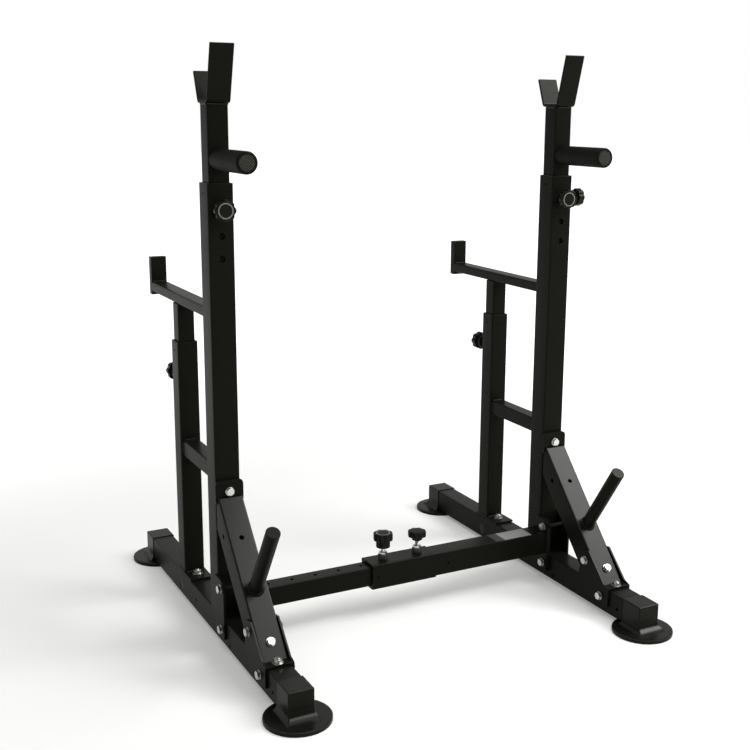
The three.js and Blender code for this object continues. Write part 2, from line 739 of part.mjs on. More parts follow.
function saddleBracket() {
  const inside = braceWidth / 2 + gap;
  const flank = inside + saddleThickness;
  const top = railTop + gap + saddleBase;
  const [length, height] = [saddleFront - saddleRear, saddleTop - saddleBottom];
  const outline = new THREE.Shape(saddleOutlineShares.map(([forward, up]) => new THREE.Vector2(
    -saddleRear - forward * length, saddleBottom + up * height)));
  const cheek = (side) => join(
    sideways(outline, saddleThickness).translate(side * (inside + saddleThickness / 2), 0, 0),
    sidePad(side, -saddleFront, -saddleUpperPlace, saddleBottom),
  );
  const base = block(at(-inside - weldSink, -saddleFront, railTop + gap), at(inside + weldSink, -saddleRear, top));
  const depth = braceWall + gap + tongueThickness / 2;
  const footRun = (braceTopHeight - depth * braceSlope.out - top) / braceSlope.up;
  const tongueAt = braceSpot(footRun, -depth);
  const tongue = block(
    at(-tongueWidth / 2, -tongueThickness / 2, -weldSink),
    at(tongueWidth / 2, tongueThickness / 2, tongueRise),
  ).rotateX(-braceLean).translate(tongueAt.x, tongueAt.y, tongueAt.z);
  return cutAway(
    join(base, cheek(-1), cheek(1), tongue),
    boltHole(alongX, at(flank, -saddleUpperPlace, saddleUpperHeight), 2 * flank),
    boltHole(alongX, at(flank, -saddleLowerPlace, saddleLowerHeight), 2 * flank),
    boltHole(alongZ, at(0, -saddleFloorBolt, top), saddleBase),
    boltHole(braceNormal, braceSpot(faceBoltRun), braceWall + gap + tongueThickness),
  );
}

// Crossbar: X counted from the left upright's axis, and its own axis at y = 0, z = 0.

function lyingTube(size, wall, start, end) {
  return boxTube(size, size, wall, end - start).rotateY(Math.PI / 2).translate(start, 0, 0);
}

const barPinAt = collarLeft + barPinPlace;
const barClampAt = collarLeft + barClampPlace;
const collarEnd = collarLeft + collarLength;
const barInnerEnd = standSpacing - plateInside - plateThickness - barEndRoom - barHolesInward * barPitch;
const barFace = alongY.clone().negate();

// The plate on each end of the crossbar lies against an ear of the upright.
function endPlate(x, outward) {
  const barTop = barHeight + barSize / 2 + weldSink;
  const outline = new THREE.Shape();
  outline.moveTo(-plateFront, plateBottom);
  outline.lineTo(-barPlace + barSize / 2, plateBottom);
  outline.lineTo(-barPlace + barSize / 2, barTop);
  outline.lineTo(-lobeRear, barTop);
  outline.lineTo(-lobeRear, plateTop);
  const plate = sideways(roundedTop(outline), plateThickness)
    .translate(outward * (plateInside + plateThickness / 2), 0, 0);
  return cutAway(plate, ...clampHoles()).translate(x, barPlace, -barHeight);
}

function crossbarInner() {
  const start = plateInside + plateThickness - weldSink;
  const count = barHolesInward + barHolesOutward + 1;
  const places = Array.from({ length: count }, (_, step) => barPinAt + (barHolesOutward - step) * barPitch);
  const half = barInnerSize / 2;
  return cutAway(
    join(lyingTube(barInnerSize, barInnerWall, start, barInnerEnd), endPlate(0, 1)),
    ...holeRow(pinHoleRadius, barInnerWall + gap, alongZ, places.map((place) => at(place, 0, half))),
  );
}

function crossbarOuter() {
  const end = standSpacing - plateInside;
  const half = barSize / 2;
  const tube = lyingTube(barSize, barWall, collarLeft + collarLip + gap, end - plateThickness + weldSink);
  return cutAway(
    join(tube, endPlate(standSpacing, -1)),
    ...holeRow(pinRadius + gap, barWall + gap, alongZ, [at(barPinAt, 0, half)]),
    ...holeRow(screwRadius + gap, barWall + gap, alongZ, [at(barClampAt, 0, half)]),
    ...holeRow(dimpleRadius, barWall + gap, barFace, [at(collarEnd + barDimple, -half, 0)]),
  );
}

function crossbarCollar() {
  const half = collarSize / 2;
  const sleeve = lyingTube(collarSize, half - barSize / 2 - gap, collarLeft, collarEnd);
  const bore = barInnerSize + 2 * gap;
  const mouthPlate = prism(roundedOutline(THREE.Shape, collarSize - weldSink, collarSize - weldSink, tubeCorner), collarLip)
    .rotateY(Math.PI / 2).translate(collarLeft, 0, 0);
  const mouth = prism(roundedOutline(THREE.Shape, bore, bore, tubeCorner), 2 * overrun)
    .rotateY(Math.PI / 2).translate(collarLeft - overrun, 0, 0);
  const pierced = cutAway(
    join(sleeve, mouthPlate),
    mouth,
    ...holeRow(dimpleRadius, half - barSize / 2, barFace, [at(collarLeft + collarDimple, -half, 0)]),
  );
  const wallDepth = half - barSize / 2;
  return withBoss(
    withBoss(pierced, pinRadius, wallDepth, alongZ, at(barPinAt, 0, half)),
    screwRadius, wallDepth, alongZ, at(barClampAt, 0, half),
  );
}

// The assembly

const model = new THREE.Group();

function add(parent, name, geometry, material) {
  const mesh = new THREE.Mesh(geometry, material);
  mesh.name = name;
  parent.add(mesh);
  return mesh;
}

// The direction points out of the bolt's head. The two upright bolts have their nuts on top.
function addBolt(parent, name, grip, direction, spot) {
  const mesh = add(parent, name, bolt(grip), zinc);
  mesh.quaternion.setFromUnitVectors(alongZ, direction);
  mesh.position.copy(spot).addScaledVector(direction, gap);
  return mesh;
}

function addKnob(parent, name, form, shaftRadius, depth, direction, spot) {
  const mesh = add(parent, name, knob(form, shaftRadius, depth - gap), plastic);
  mesh.quaternion.setFromUnitVectors(alongZ, direction);
  mesh.position.copy(spot);
  return mesh;
}

function addFoot(stand, side) {
  add(stand, `${side}_foot_rail`, footRail(), paint);
  add(stand, `${side}_rail_plug`, railPlug(), plastic);
  const front = add(stand, `${side}_front_boot`, boot(), rubber);
  front.position.y = -railFront;
  const rear = add(stand, `${side}_rear_boot`, boot(), rubber);
  rear.position.y = railRear;
  rear.rotation.z = Math.PI;
}

function addUpright(stand, side, hasSideClamp) {
  const half = uprightSize / 2;
  const depth = (uprightSize - innerSize) / 2;
  const front = alongY.clone().negate();
  const pinSpot = at(0, -half, uprightPinHeight);
  add(stand, `${side}_upright`, outerUpright(hasSideClamp), paint);
  add(stand, `${side}_upright_bush`, bush(uprightSize, uprightWall, innerSize, uprightTop), plastic);
  add(stand, `${side}_inner_upright`, innerUpright(), paint);
  add(stand, `${side}_bar_catch`, barCatch(), paint);
  add(stand, `${side}_handle_grip`, handleGrip(), foam);
  addKnob(stand, `${side}_upright_plunger`, shortPull, pinRadius, depth, front, pinSpot);
  if (hasSideClamp) {
    addKnob(stand, `${side}_clamp_knob`, sideScrew, screwRadius, depth, alongX, at(half, 0, uprightPinHeight));
  }
}

function addRearPost(stand, side) {
  const post = new THREE.Group();
  post.position.y = postSetback;
  stand.add(post);
  add(post, `${side}_rear_post`, outerPost(), paint);
  add(post, `${side}_rear_bush`, bush(postSize, postWall, postInnerSize, postTop), plastic);
  add(post, `${side}_inner_post`, innerPost(), paint);
  add(post, `${side}_spotter_arm`, spotterArm(), paint);
  addKnob(post, `${side}_rear_plunger`, rearPull, pinRadius, (postSize - postInnerSize) / 2, alongY,
    at(0, postSize / 2, postPinHeight));
  addBolt(post, `${side}_flange_bolt`, flangeThickness + gap + railWall, alongZ.clone().negate(),
    at(0, -flangeBolt, railTop - railWall));
  add(stand, `${side}_link_tube`, linkTube(), paint);
}

function addBrace(stand, side) {
  add(stand, `${side}_brace`, brace(), paint);
  add(stand, `${side}_saddle_bracket`, saddleBracket(), paint);
  const peg = add(stand, `${side}_weight_peg`, weightPeg(), paint);
  peg.rotation.x = pegLean;
  peg.position.copy(braceSpot(pegRun));
  const flank = braceWidth / 2 + gap + saddleThickness;
  const left = alongX.clone().negate();
  const across = 2 * flank;
  addBolt(stand, `${side}_saddle_upper_bolt`, across, left, at(-flank, -saddleUpperPlace, saddleUpperHeight));
  addBolt(stand, `${side}_saddle_lower_bolt`, across, left, at(-flank, -saddleLowerPlace, saddleLowerHeight));
  addBolt(stand, `${side}_saddle_floor_bolt`, saddleBase + gap + railWall, alongZ.clone().negate(),
    at(0, -saddleFloorBolt, railTop - railWall));
  addBolt(stand, `${side}_saddle_face_bolt`, braceWall + gap + tongueThickness, braceNormal, braceSpot(faceBoltRun));
  addBolt(stand, `${side}_bracket_bolt`, bracketThickness + gap + uprightWall, alongY.clone().negate(),
    at(0, -uprightSize / 2 - gap - bracketThickness, bracketBoltHeight));
}

// Both bolts have their heads on the -X side, and their grip takes in the crossbar's end plate.
function addClamp(stand, side, outward) {
  const ears = plateInside - gap;
  const grip = ears + plateInside + plateThickness;
  const head = outward < 0 ? ears : plateInside + plateThickness;
  const left = alongX.clone().negate();
  addBolt(stand, `${side}_upper_clamp_bolt`, grip, left, at(-head, -clampBoltPlace, upperBoltHeight));
  addBolt(stand, `${side}_lower_clamp_bolt`, grip, left, at(-head, -clampBoltPlace, lowerBoltHeight));
}

function addStand(side, outward, hasSideClamp) {
  const stand = new THREE.Group();
  stand.position.x = outward * barHalf;
  model.add(stand);
  addFoot(stand, side);
  addUpright(stand, side, hasSideClamp);
  addRearPost(stand, side);
  addBrace(stand, side);
  addClamp(stand, side, outward);
}

function addCrossbar() {
  const bar = new THREE.Group();
  bar.position.set(-barHalf, -barPlace, barHeight);
  model.add(bar);
  const depth = (collarSize - barInnerSize) / 2;
  add(bar, 'crossbar_inner', crossbarInner(), paint);
  add(bar, 'crossbar_outer', crossbarOuter(), paint);
  add(bar, 'crossbar_collar', crossbarCollar(), paint);
  addKnob(bar, 'crossbar_plunger', tallPull, pinRadius, depth, alongZ, at(barPinAt, 0, collarSize / 2));
  addKnob(bar, 'crossbar_clamp_knob', barScrew, screwRadius, depth, alongZ, at(barClampAt, 0, collarSize / 2));
}

addStand('left', -1, false);
addStand('right', 1, true);
addCrossbar();

// The origin lies on the floor, under the middle of the whole stand's outline.
model.position.set((padRadius - clampReach) / 2, (railFront - railRear) / 2, 0);

export default model;
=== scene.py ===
import json
import math

import bpy
from mathutils import Matrix, Vector


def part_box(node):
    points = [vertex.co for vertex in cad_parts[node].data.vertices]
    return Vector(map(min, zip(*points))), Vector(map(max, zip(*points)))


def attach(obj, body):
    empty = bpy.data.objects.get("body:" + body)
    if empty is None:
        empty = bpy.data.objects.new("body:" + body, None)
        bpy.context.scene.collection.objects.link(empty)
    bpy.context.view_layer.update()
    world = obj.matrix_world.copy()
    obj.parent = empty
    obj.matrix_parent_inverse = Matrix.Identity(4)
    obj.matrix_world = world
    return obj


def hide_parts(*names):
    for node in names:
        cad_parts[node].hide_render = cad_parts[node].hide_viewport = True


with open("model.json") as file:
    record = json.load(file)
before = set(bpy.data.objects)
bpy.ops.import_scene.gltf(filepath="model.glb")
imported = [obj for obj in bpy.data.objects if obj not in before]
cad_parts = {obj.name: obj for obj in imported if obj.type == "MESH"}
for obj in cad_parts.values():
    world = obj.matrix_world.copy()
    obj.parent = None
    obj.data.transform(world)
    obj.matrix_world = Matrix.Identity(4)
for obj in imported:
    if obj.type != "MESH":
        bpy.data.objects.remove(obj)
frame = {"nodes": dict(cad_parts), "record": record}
nodes = frame["nodes"]
record = frame["record"]
bodyOf = {node: body for body, members in record["behaviour"]["bodies"].items() for node in members}
slotOf = {subpart["node"]: subpart["material_slot"] for subpart in record["subparts"]}
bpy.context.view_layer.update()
mm = 0.001


# node helpers

def addNode(tree, kind, values=None, **settings):
    node = tree.nodes.new(kind)
    for name, value in settings.items():
        setattr(node, name, value)
    for name, value in (values or {}).items():
        node.inputs[name].default_value = value
    return node


def mathOf(tree, operation, first, second):
    node = addNode(tree, "ShaderNodeMath", operation=operation)
    for socket, source in zip(node.inputs, (first, second)):
        tree.links.new(source, socket)
    return node.outputs[0]


def newGroup(name, inputs, outputs):
    group = bpy.data.node_groups.new(name, "ShaderNodeTree")
    for label, kind, start in inputs:
        socket = group.interface.new_socket(name=label, in_out="INPUT", socket_type=kind)
        socket.default_value = start
    for label, kind in outputs:
        group.interface.new_socket(name=label, in_out="OUTPUT", socket_type=kind)
    return group, addNode(group, "NodeGroupInput"), addNode(group, "NodeGroupOutput")


def makePebbledSkin():
    # fine pebbled skin of a sprayed or moulded finish, with a slower drift in its shade
    cellShare = 0.5             # how much the cells add to the pebbles' height
    group, given, result = newGroup("pebbledSkin", [
        ("Vector", "NodeSocketVector", (0.0, 0.0, 0.0)),
        ("Pebbles", "NodeSocketFloat", 900.0),
        ("Drift", "NodeSocketFloat", 9.0),
    ], [("Height", "NodeSocketFloat"), ("Shade", "NodeSocketFloat")])
    link = group.links.new
    pebbles = addNode(group, "ShaderNodeTexNoise", {"Detail": 3.0, "Roughness": 0.6})
    cells = addNode(group, "ShaderNodeTexVoronoi", {"Randomness": 1.0}, feature="SMOOTH_F1")
    drift = addNode(group, "ShaderNodeTexNoise", {"Detail": 4.0, "Roughness": 0.55})
    blend = addNode(group, "ShaderNodeMath", {1: cellShare}, operation="MULTIPLY_ADD")
    for texture, scale in ((pebbles, "Pebbles"), (cells, "Pebbles"), (drift, "Drift")):
        link(given.outputs["Vector"], texture.inputs["Vector"])
        link(given.outputs[scale], texture.inputs["Scale"])
    link(cells.outputs["Distance"], blend.inputs[0])
    link(pebbles.outputs["Fac"], blend.inputs[2])
    link(blend.outputs[0], result.inputs["Height"])
    link(drift.outputs["Fac"], result.inputs["Shade"])
    return group


def makeEdgeHighlight():
    # painted highlight on rounded edges: how sharply the surface turns nearby, broken up so that it comes and
    # goes along an edge
    group, given, result = newGroup("edgeHighlight", [
        ("Vector", "NodeSocketVector", (0.0, 0.0, 0.0)),
        ("Reach", "NodeSocketFloat", 0.0012),
        ("Amount", "NodeSocketFloat", 1.0),
    ], [("Mask", "NodeSocketFloat"), ("Normal", "NodeSocketVector")])
    link = group.links.new
    rounded = addNode(group, "ShaderNodeBevel", samples=4)
    surface = addNode(group, "ShaderNodeNewGeometry")
    likeness = addNode(group, "ShaderNodeVectorMath", operation="DOT_PRODUCT")
    turn = addNode(group, "ShaderNodeMapRange", {
        "From Min": 0.995, "From Max": 0.86,    # cosines of the turns where the painted edge highlight starts and is full
    })
    patches = addNode(group, "ShaderNodeTexNoise", {"Scale": 60.0, "Detail": 3.0})
    broken = addNode(group, "ShaderNodeMapRange", {"From Min": 0.35, "From Max": 0.65})
    link(given.outputs["Reach"], rounded.inputs["Radius"])
    link(rounded.outputs["Normal"], likeness.inputs[0])
    link(surface.outputs["Normal"], likeness.inputs[1])
    link(likeness.outputs["Value"], turn.inputs["Value"])
    link(given.outputs["Vector"], patches.inputs["Vector"])
    link(patches.outputs["Fac"], broken.inputs["Value"])
    patchyHighlight = mathOf(group, "MULTIPLY", turn.outputs["Result"], broken.outputs["Result"])
    link(mathOf(group, "MULTIPLY", patchyHighlight, given.outputs["Amount"]), result.inputs["Mask"])
    link(rounded.outputs["Normal"], result.inputs["Normal"])
    return group


pebbledSkin = makePebbledSkin()
edgeHighlight = makeEdgeHighlight()


def coatedTree(look):
    # a skin with pebbles, a drift between two shades and a painted highlight on rounded edges; a look with
    # a top coat also has more gloss on the faces that look up
    material = bpy.data.materials.new(look["name"])
    material.use_nodes = True
    tree = material.node_tree
    link = tree.links.new
    shader = tree.nodes["Principled BSDF"]
    place = addNode(tree, "ShaderNodeTexCoord")
    skin = addNode(tree, "ShaderNodeGroup", node_tree=pebbledSkin)
    edge = addNode(tree, "ShaderNodeGroup", node_tree=edgeHighlight)
    skin.inputs["Pebbles"].default_value = look["pebbles"]
    skin.inputs["Drift"].default_value = look["drift"]
    edge.inputs["Reach"].default_value = look["edgeReach"]
    edge.inputs["Amount"].default_value = look["edgeAmount"]
    for group in (skin, edge):
        link(place.outputs["Object"], group.inputs["Vector"])
    shade = addNode(tree, "ShaderNodeMix", data_type="RGBA")
    shade.inputs["A"].default_value = (*look["dark"], 1.0)
    shade.inputs["B"].default_value = (*look["light"], 1.0)
    # painted highlight: the edge colour is mixed in where the surface turns sharply
    edgeLit = addNode(tree, "ShaderNodeMix", data_type="RGBA")
    edgeLit.inputs["B"].default_value = (*look["edge"], 1.0)
    link(skin.outputs["Shade"], shade.inputs["Factor"])
    link(shade.outputs["Result"], edgeLit.inputs["A"])
    link(edge.outputs["Mask"], edgeLit.inputs["Factor"])
    link(edgeLit.outputs["Result"], shader.inputs["Base Color"])
    smoothest, roughest = look["roughness"]
    gloss = addNode(tree, "ShaderNodeMapRange", {"To Min": smoothest, "To Max": roughest})
    link(skin.outputs["Shade"], gloss.inputs["Value"])
    link(gloss.outputs["Result"], shader.inputs["Roughness"])
    bump = addNode(tree, "ShaderNodeBump", {"Strength": look["bump"], "Distance": look["bumpDepth"]})
    link(skin.outputs["Height"], bump.inputs["Height"])
    link(edge.outputs["Normal"], bump.inputs["Normal"])
    link(bump.outputs["Normal"], shader.inputs["Normal"])
    if "topCoat" in look:
        surface = addNode(tree, "ShaderNodeNewGeometry")
        axes = addNode(tree, "ShaderNodeSeparateXYZ")
        upward = addNode(tree, "ShaderNodeMapRange", {
            "From Min": 0.25, "From Max": 0.6,  # upward share of the normal
            "To Max": look["topCoat"],
        })
        link(surface.outputs["Normal"], axes.inputs[0])
        link(axes.outputs["Z"], upward.inputs["Value"])
        link(upward.outputs["Result"], shader.inputs["Coat Weight"])
        shader.inputs["Coat Roughness"].default_value = look["topRoughness"]
    shader.inputs["Metallic"].default_value = look["metallic"]
    shader.inputs["Specular IOR Level"].default_value = look["specular"]
    shader.inputs["Specular Tint"].default_value = (*look.get("sheen", (1.0, 1.0, 1.0)), 1.0)
    return material, shade, bump


def coatedMaterial(look):
    return coatedTree(look)[0]


def diamondMaterial(look):
    # the coated skin, with two crossing sets of ridges on the piece's own UV map for its height; the ridges
    # also colour their tops lighter and the gaps darker, as painted highlight and painted shade
    material, shade, bump = coatedTree(look)
    tree = material.node_tree
    link = tree.links.new
    place = addNode(tree, "ShaderNodeTexCoord")
    ridges = []
    for way in (1.0, -1.0):
        turned = addNode(tree, "ShaderNodeMapping", {"Scale": (way * look["round"], look["along"], 1.0)})
        wave = addNode(tree, "ShaderNodeTexWave", {"Scale": 1.0, "Distortion": 0.0},
                       bands_direction="DIAGONAL")
        link(place.outputs["UV"], turned.inputs["Vector"])
        link(turned.outputs["Vector"], wave.inputs["Vector"])
        ridges.append(wave.outputs["Fac"])
    height = mathOf(tree, "MULTIPLY", *ridges)
    link(height, bump.inputs["Height"])
    # painted highlight on the ridge tops and painted shade in the gaps between them
    link(height, shade.inputs["Factor"])
    return material


# the finishes: pebbles and drift are counted per metre, edgeReach and bumpDepth are in metres; edge is the
# colour of the painted highlight on rounded edges

powderCoat = coatedMaterial({
    "name": "powderCoat", "dark": (0.0052, 0.0056, 0.004), "light": (0.0078, 0.0084, 0.006),
    "edge": (0.03, 0.032, 0.025), "sheen": (0.95, 1.0, 0.78),
    "pebbles": 1400.0, "drift": 7.0, "edgeReach": 0.0016, "edgeAmount": 0.5,
    "roughness": (0.34, 0.44), "bump": 0.12, "bumpDepth": 0.0002, "metallic": 0.0, "specular": 0.045,
    "topCoat": 0.31, "topRoughness": 0.26,
})
weldCoat = coatedMaterial({
    "name": "weldCoat", "dark": (0.009, 0.0094, 0.0078), "light": (0.018, 0.0186, 0.016),
    "edge": (0.04, 0.041, 0.036), "pebbles": 900.0, "drift": 60.0, "edgeReach": 0.001, "edgeAmount": 0.4,
    "roughness": (0.3, 0.42), "bump": 0.2, "bumpDepth": 0.0003, "metallic": 0.0, "specular": 0.16,
})
bootRubber = coatedMaterial({
    "name": "bootRubber", "dark": (0.0052, 0.0055, 0.0042), "light": (0.008, 0.0085, 0.0066),
    "edge": (0.03, 0.032, 0.026), "sheen": (0.95, 1.0, 0.8),
    "pebbles": 1100.0, "drift": 14.0, "edgeReach": 0.0014, "edgeAmount": 0.5,
    "roughness": (0.28, 0.4), "bump": 0.16, "bumpDepth": 0.0003, "metallic": 0.0, "specular": 0.09,
    "topCoat": 0.34, "topRoughness": 0.26,
})
gripLook = {
    "name": "gripRubber", "dark": (0.0028, 0.003, 0.0022), "light": (0.0115, 0.0122, 0.0098),
    "edge": (0.02, 0.021, 0.017), "sheen": (0.95, 1.0, 0.8),
    "pebbles": 900.0, "drift": 20.0, "edgeReach": 0.001, "edgeAmount": 0.3,
    "roughness": (0.55, 0.7), "bump": 0.6, "bumpDepth": 0.0008, "metallic": 0.0, "specular": 0.08,
    "round": 18.85, "along": 43.98,     # scale of the ridges round the grip and along it
}
gripRubber = diamondMaterial(gripLook)
gripDisc = diamondMaterial({
    **gripLook, "name": "gripDisc", "dark": (0.006, 0.0064, 0.005), "light": (0.125, 0.131, 0.109),
    "round": 11.6, "along": 11.6,
})
knobNylon = coatedMaterial({
    "name": "knobNylon", "dark": (0.0048, 0.005, 0.0038), "light": (0.0074, 0.0078, 0.006),
    "edge": (0.016, 0.017, 0.014), "sheen": (0.95, 1.0, 0.8),
    "pebbles": 1600.0, "drift": 25.0, "edgeReach": 0.0008, "edgeAmount": 0.5,
    "roughness": (0.26, 0.38), "bump": 0.12, "bumpDepth": 0.0002, "metallic": 0.0, "specular": 0.1,
})
paleRing = coatedMaterial({
    "name": "paleRing", "dark": (0.12, 0.12, 0.112), "light": (0.26, 0.26, 0.245),
    "edge": (0.4, 0.4, 0.38), "pebbles": 2400.0, "drift": 160.0, "edgeReach": 0.0004, "edgeAmount": 0.3,
    "roughness": (0.35, 0.5), "bump": 0.1, "bumpDepth": 0.0001, "metallic": 0.0, "specular": 0.3,
})
bushNylon = coatedMaterial({
    "name": "bushNylon", "dark": (0.004, 0.004, 0.0036), "light": (0.006, 0.006, 0.0054),
    "edge": (0.02, 0.02, 0.018), "pebbles": 1600.0, "drift": 25.0, "edgeReach": 0.0006, "edgeAmount": 0.3,
    "roughness": (0.35, 0.45), "bump": 0.1, "bumpDepth": 0.0002, "metallic": 0.0, "specular": 0.15,
})
zincPlate = coatedMaterial({
    "name": "zincPlate", "dark": (0.5, 0.5, 0.47), "light": (0.7, 0.7, 0.67),
    "edge": (0.85, 0.85, 0.82), "pebbles": 2200.0, "drift": 120.0, "edgeReach": 0.0005, "edgeAmount": 0.7,
    "roughness": (0.24, 0.4), "bump": 0.12, "bumpDepth": 0.0002, "metallic": 1.0, "specular": 0.5,
})
# painted shade: the zinc bolt shanks are coloured nearly black for the shadow they lie in between the ears
# and the brace
shadowedShankSteel = coatedMaterial({
    "name": "shadowedShankSteel", "dark": (0.005, 0.005, 0.0045), "light": (0.01, 0.01, 0.009),
    "edge": (0.02, 0.02, 0.018), "pebbles": 1800.0, "drift": 90.0, "edgeReach": 0.0005, "edgeAmount": 0.3,
    "roughness": (0.45, 0.6), "bump": 0.12, "bumpDepth": 0.0002, "metallic": 0.0, "specular": 0.08,
})
silverFoil = coatedMaterial({
    "name": "silverFoil", "dark": (0.2, 0.2, 0.19), "light": (0.4, 0.4, 0.385),
    "edge": (0.7, 0.7, 0.68), "pebbles": 1800.0, "drift": 30.0, "edgeReach": 0.0003, "edgeAmount": 0.3,
    "roughness": (0.38, 0.5), "bump": 0.08, "bumpDepth": 0.0001, "metallic": 0.3, "specular": 0.5,
})
greyFoil = coatedMaterial({
    "name": "greyFoil", "dark": (0.035, 0.035, 0.033), "light": (0.075, 0.075, 0.071),
    "edge": (0.3, 0.3, 0.29), "pebbles": 1800.0, "drift": 30.0, "edgeReach": 0.0003, "edgeAmount": 0.3,
    "roughness": (0.38, 0.5), "bump": 0.08, "bumpDepth": 0.0001, "metallic": 0.3, "specular": 0.3,
})
# painted reflection: the black-painted boss shells are coloured grey for the bright reflections on them
bossReflectionGrey = coatedMaterial({
    "name": "bossReflectionGrey", "dark": (0.03, 0.03, 0.027), "light": (0.075, 0.075, 0.068),
    "edge": (0.3, 0.3, 0.28), "pebbles": 1400.0, "drift": 130.0, "edgeReach": 0.0009, "edgeAmount": 0.7,
    "roughness": (0.3, 0.45), "bump": 0.15, "bumpDepth": 0.0002, "metallic": 0.3, "specular": 0.3,
})

slotMaterial = {
    "black_paint": powderCoat, "zinc_steel": zincPlate, "boot_rubber": bootRubber,
    "grip_rubber": gripRubber, "knob_plastic": knobNylon, "bush_plastic": bushNylon,
}
for node, slotName in slotOf.items():
    nodes[node].data.materials.clear()
    nodes[node].data.materials.append(slotMaterial[slotName])
print("materials done")


# ways of making a piece

touch = 0.01 * mm               # places nearer than this are the same
facing = 0.99                   # a face looks along an axis when its normal's share of it is more
rimAngle = 50.0                 # rounds the rims of a round piece and leaves the facets of its side
meshParts = ("points", "edges", "faces")


def clearSelection():
    if bpy.context.mode != "OBJECT":
        bpy.ops.object.mode_set(mode="OBJECT")
    bpy.ops.object.select_all(action="DESELECT")


def begin(adder, **settings):
    # a new primitive, with its place in its mesh
    clearSelection()
    adder(**settings)
    bpy.ops.object.transform_apply(location=True, rotation=True, scale=True)
    return bpy.context.active_object


def cylinder(radius, length, sides, bottom=0.0):
    # a cylinder along +Z, from the bottom height up
    return begin(bpy.ops.mesh.primitive_cylinder_add, vertices=sides, radius=radius, depth=length,
                 location=(0.0, 0.0, bottom + length / 2))


def makeActive(piece):
    clearSelection()
    piece.select_set(True)
    bpy.context.view_layer.objects.active = piece


def readyMesh(piece, part):
    # nothing is selected, and edit mode will work on one of the mesh parts
    makeActive(piece)
    bpy.context.tool_settings.mesh_select_mode = tuple(kind == part for kind in meshParts)
    for parts in (piece.data.vertices, piece.data.edges, piece.data.polygons):
        parts.foreach_set("select", [False] * len(parts))


def pickFaces(piece, chosen):
    readyMesh(piece, "faces")
    for face in piece.data.polygons:
        face.select = chosen(face.center, face.normal)
    bpy.ops.object.mode_set(mode="EDIT")


def pickEdges(piece, chosen):
    readyMesh(piece, "edges")
    for edge in piece.data.edges:
        edge.select = chosen(*[piece.data.vertices[index].co for index in edge.vertices])
    bpy.ops.object.mode_set(mode="EDIT")


def pickPoints(piece, chosen):
    readyMesh(piece, "points")
    for point in piece.data.vertices:
        point.select = chosen(point.co)
    bpy.ops.object.mode_set(mode="EDIT")


def flatAt(height, up=1):
    # chooses the flat faces at that height that look up, or down where up is -1
    return lambda middle, normal: normal.z * up > facing and abs(middle.z - height) < touch


def leaveMesh():
    bpy.ops.object.mode_set(mode="OBJECT")


def modify(piece, kind, **settings):
    makeActive(piece)
    change = piece.modifiers.new(kind.title(), kind)
    for name, value in settings.items():
        setattr(change, name, value)
    bpy.ops.object.modifier_apply(modifier=change.name)


def softEdges(piece, width, segments=2, angle=35.0):
    modify(piece, "BEVEL", width=width, segments=segments, limit_method="ANGLE",
           angle_limit=math.radians(angle))


def smooth(piece, angle=40.0):
    # flat faces stay flat, and the small faces of a rounded edge take up the turn
    makeActive(piece)
    bpy.ops.object.shade_smooth_by_angle(angle=math.radians(angle))
    modify(piece, "WEIGHTED_NORMAL", keep_sharp=True)


def stand(piece, spot, axis):
    # a piece made along +Z from the origin is turned to the axis and set on the spot
    makeActive(piece)
    piece.rotation_mode = "QUATERNION"
    piece.rotation_quaternion = Vector((0.0, 0.0, 1.0)).rotation_difference(Vector(axis))
    piece.location = spot
    bpy.ops.object.transform_apply(location=True, rotation=True, scale=True)


def copyOf(piece):
    twin = piece.copy()
    twin.data = piece.data.copy()
    bpy.context.scene.collection.objects.link(twin)
    return twin


def joinPieces(pieces):
    makeActive(pieces[0])
    for piece in pieces:
        piece.select_set(True)
    bpy.ops.object.join()
    return bpy.context.active_object


def carve(piece, tool, operation="DIFFERENCE"):
    # the tool is used up
    modify(piece, "BOOLEAN", operation=operation, object=tool, solver="EXACT")
    bpy.data.objects.remove(tool)


def paintWith(piece, material):
    piece.data.materials.clear()
    piece.data.materials.append(material)


def finishPiece(piece, name, body, slotName, *replaced):
    makeActive(piece)
    bpy.ops.object.transform_apply(location=True, rotation=True, scale=True)
    piece.name = name
    piece.data.name = name
    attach(piece, body)
    if replaced:
        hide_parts(*replaced)


# tubes, plates and boots: the frame's own shapes with rounded edges

roundedEdges = {
    "radius": {"black_paint": 1.0 * mm, "boot_rubber": 1.6 * mm},
    "segments": 3,
    "sharpAngle": 25.0,         # edges that turn more than this are rounded
    "flatAngle": 0.4,           # faces that turn less than this are one face
}
bootEdges = {                   # the outer edges of the boot's block and down the corners of its skirt
    "radius": 3.0 * mm,
    "segments": 5,
    "half": 30.0 * mm,          # half the block's width
    "reach": 51.6 * mm,         # from the round foot's outer edge to the block's end face
    "footTop": 10.6 * mm,
    "near": 0.06 * mm,          # how close to a face of the block an edge has to be
}


def roundBoot(shell, node):
    # the block's outer edges are rounded more than the thin rim of its mouth would allow
    style = bootEdges
    low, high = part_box(node)
    middle = (low.x + high.x) / 2
    isFront = "front" in node
    face = low.y + style["reach"] if isFront else high.y - style["reach"]

    def onBlock(start, end):
        spot = (start + end) / 2
        onSide = abs(spot.x - middle) > style["half"] - style["near"]
        ahead = spot.y < face + style["near"] if isFront else spot.y > face - style["near"]
        onTop = spot.z > high.z - style["near"]
        return spot.z > style["footTop"] and ((ahead and onSide) or (onTop and (onSide or ahead)))

    pickEdges(shell, onBlock)
    bpy.ops.mesh.bevel(offset=style["radius"], segments=style["segments"], clamp_overlap=False)
    leaveMesh()


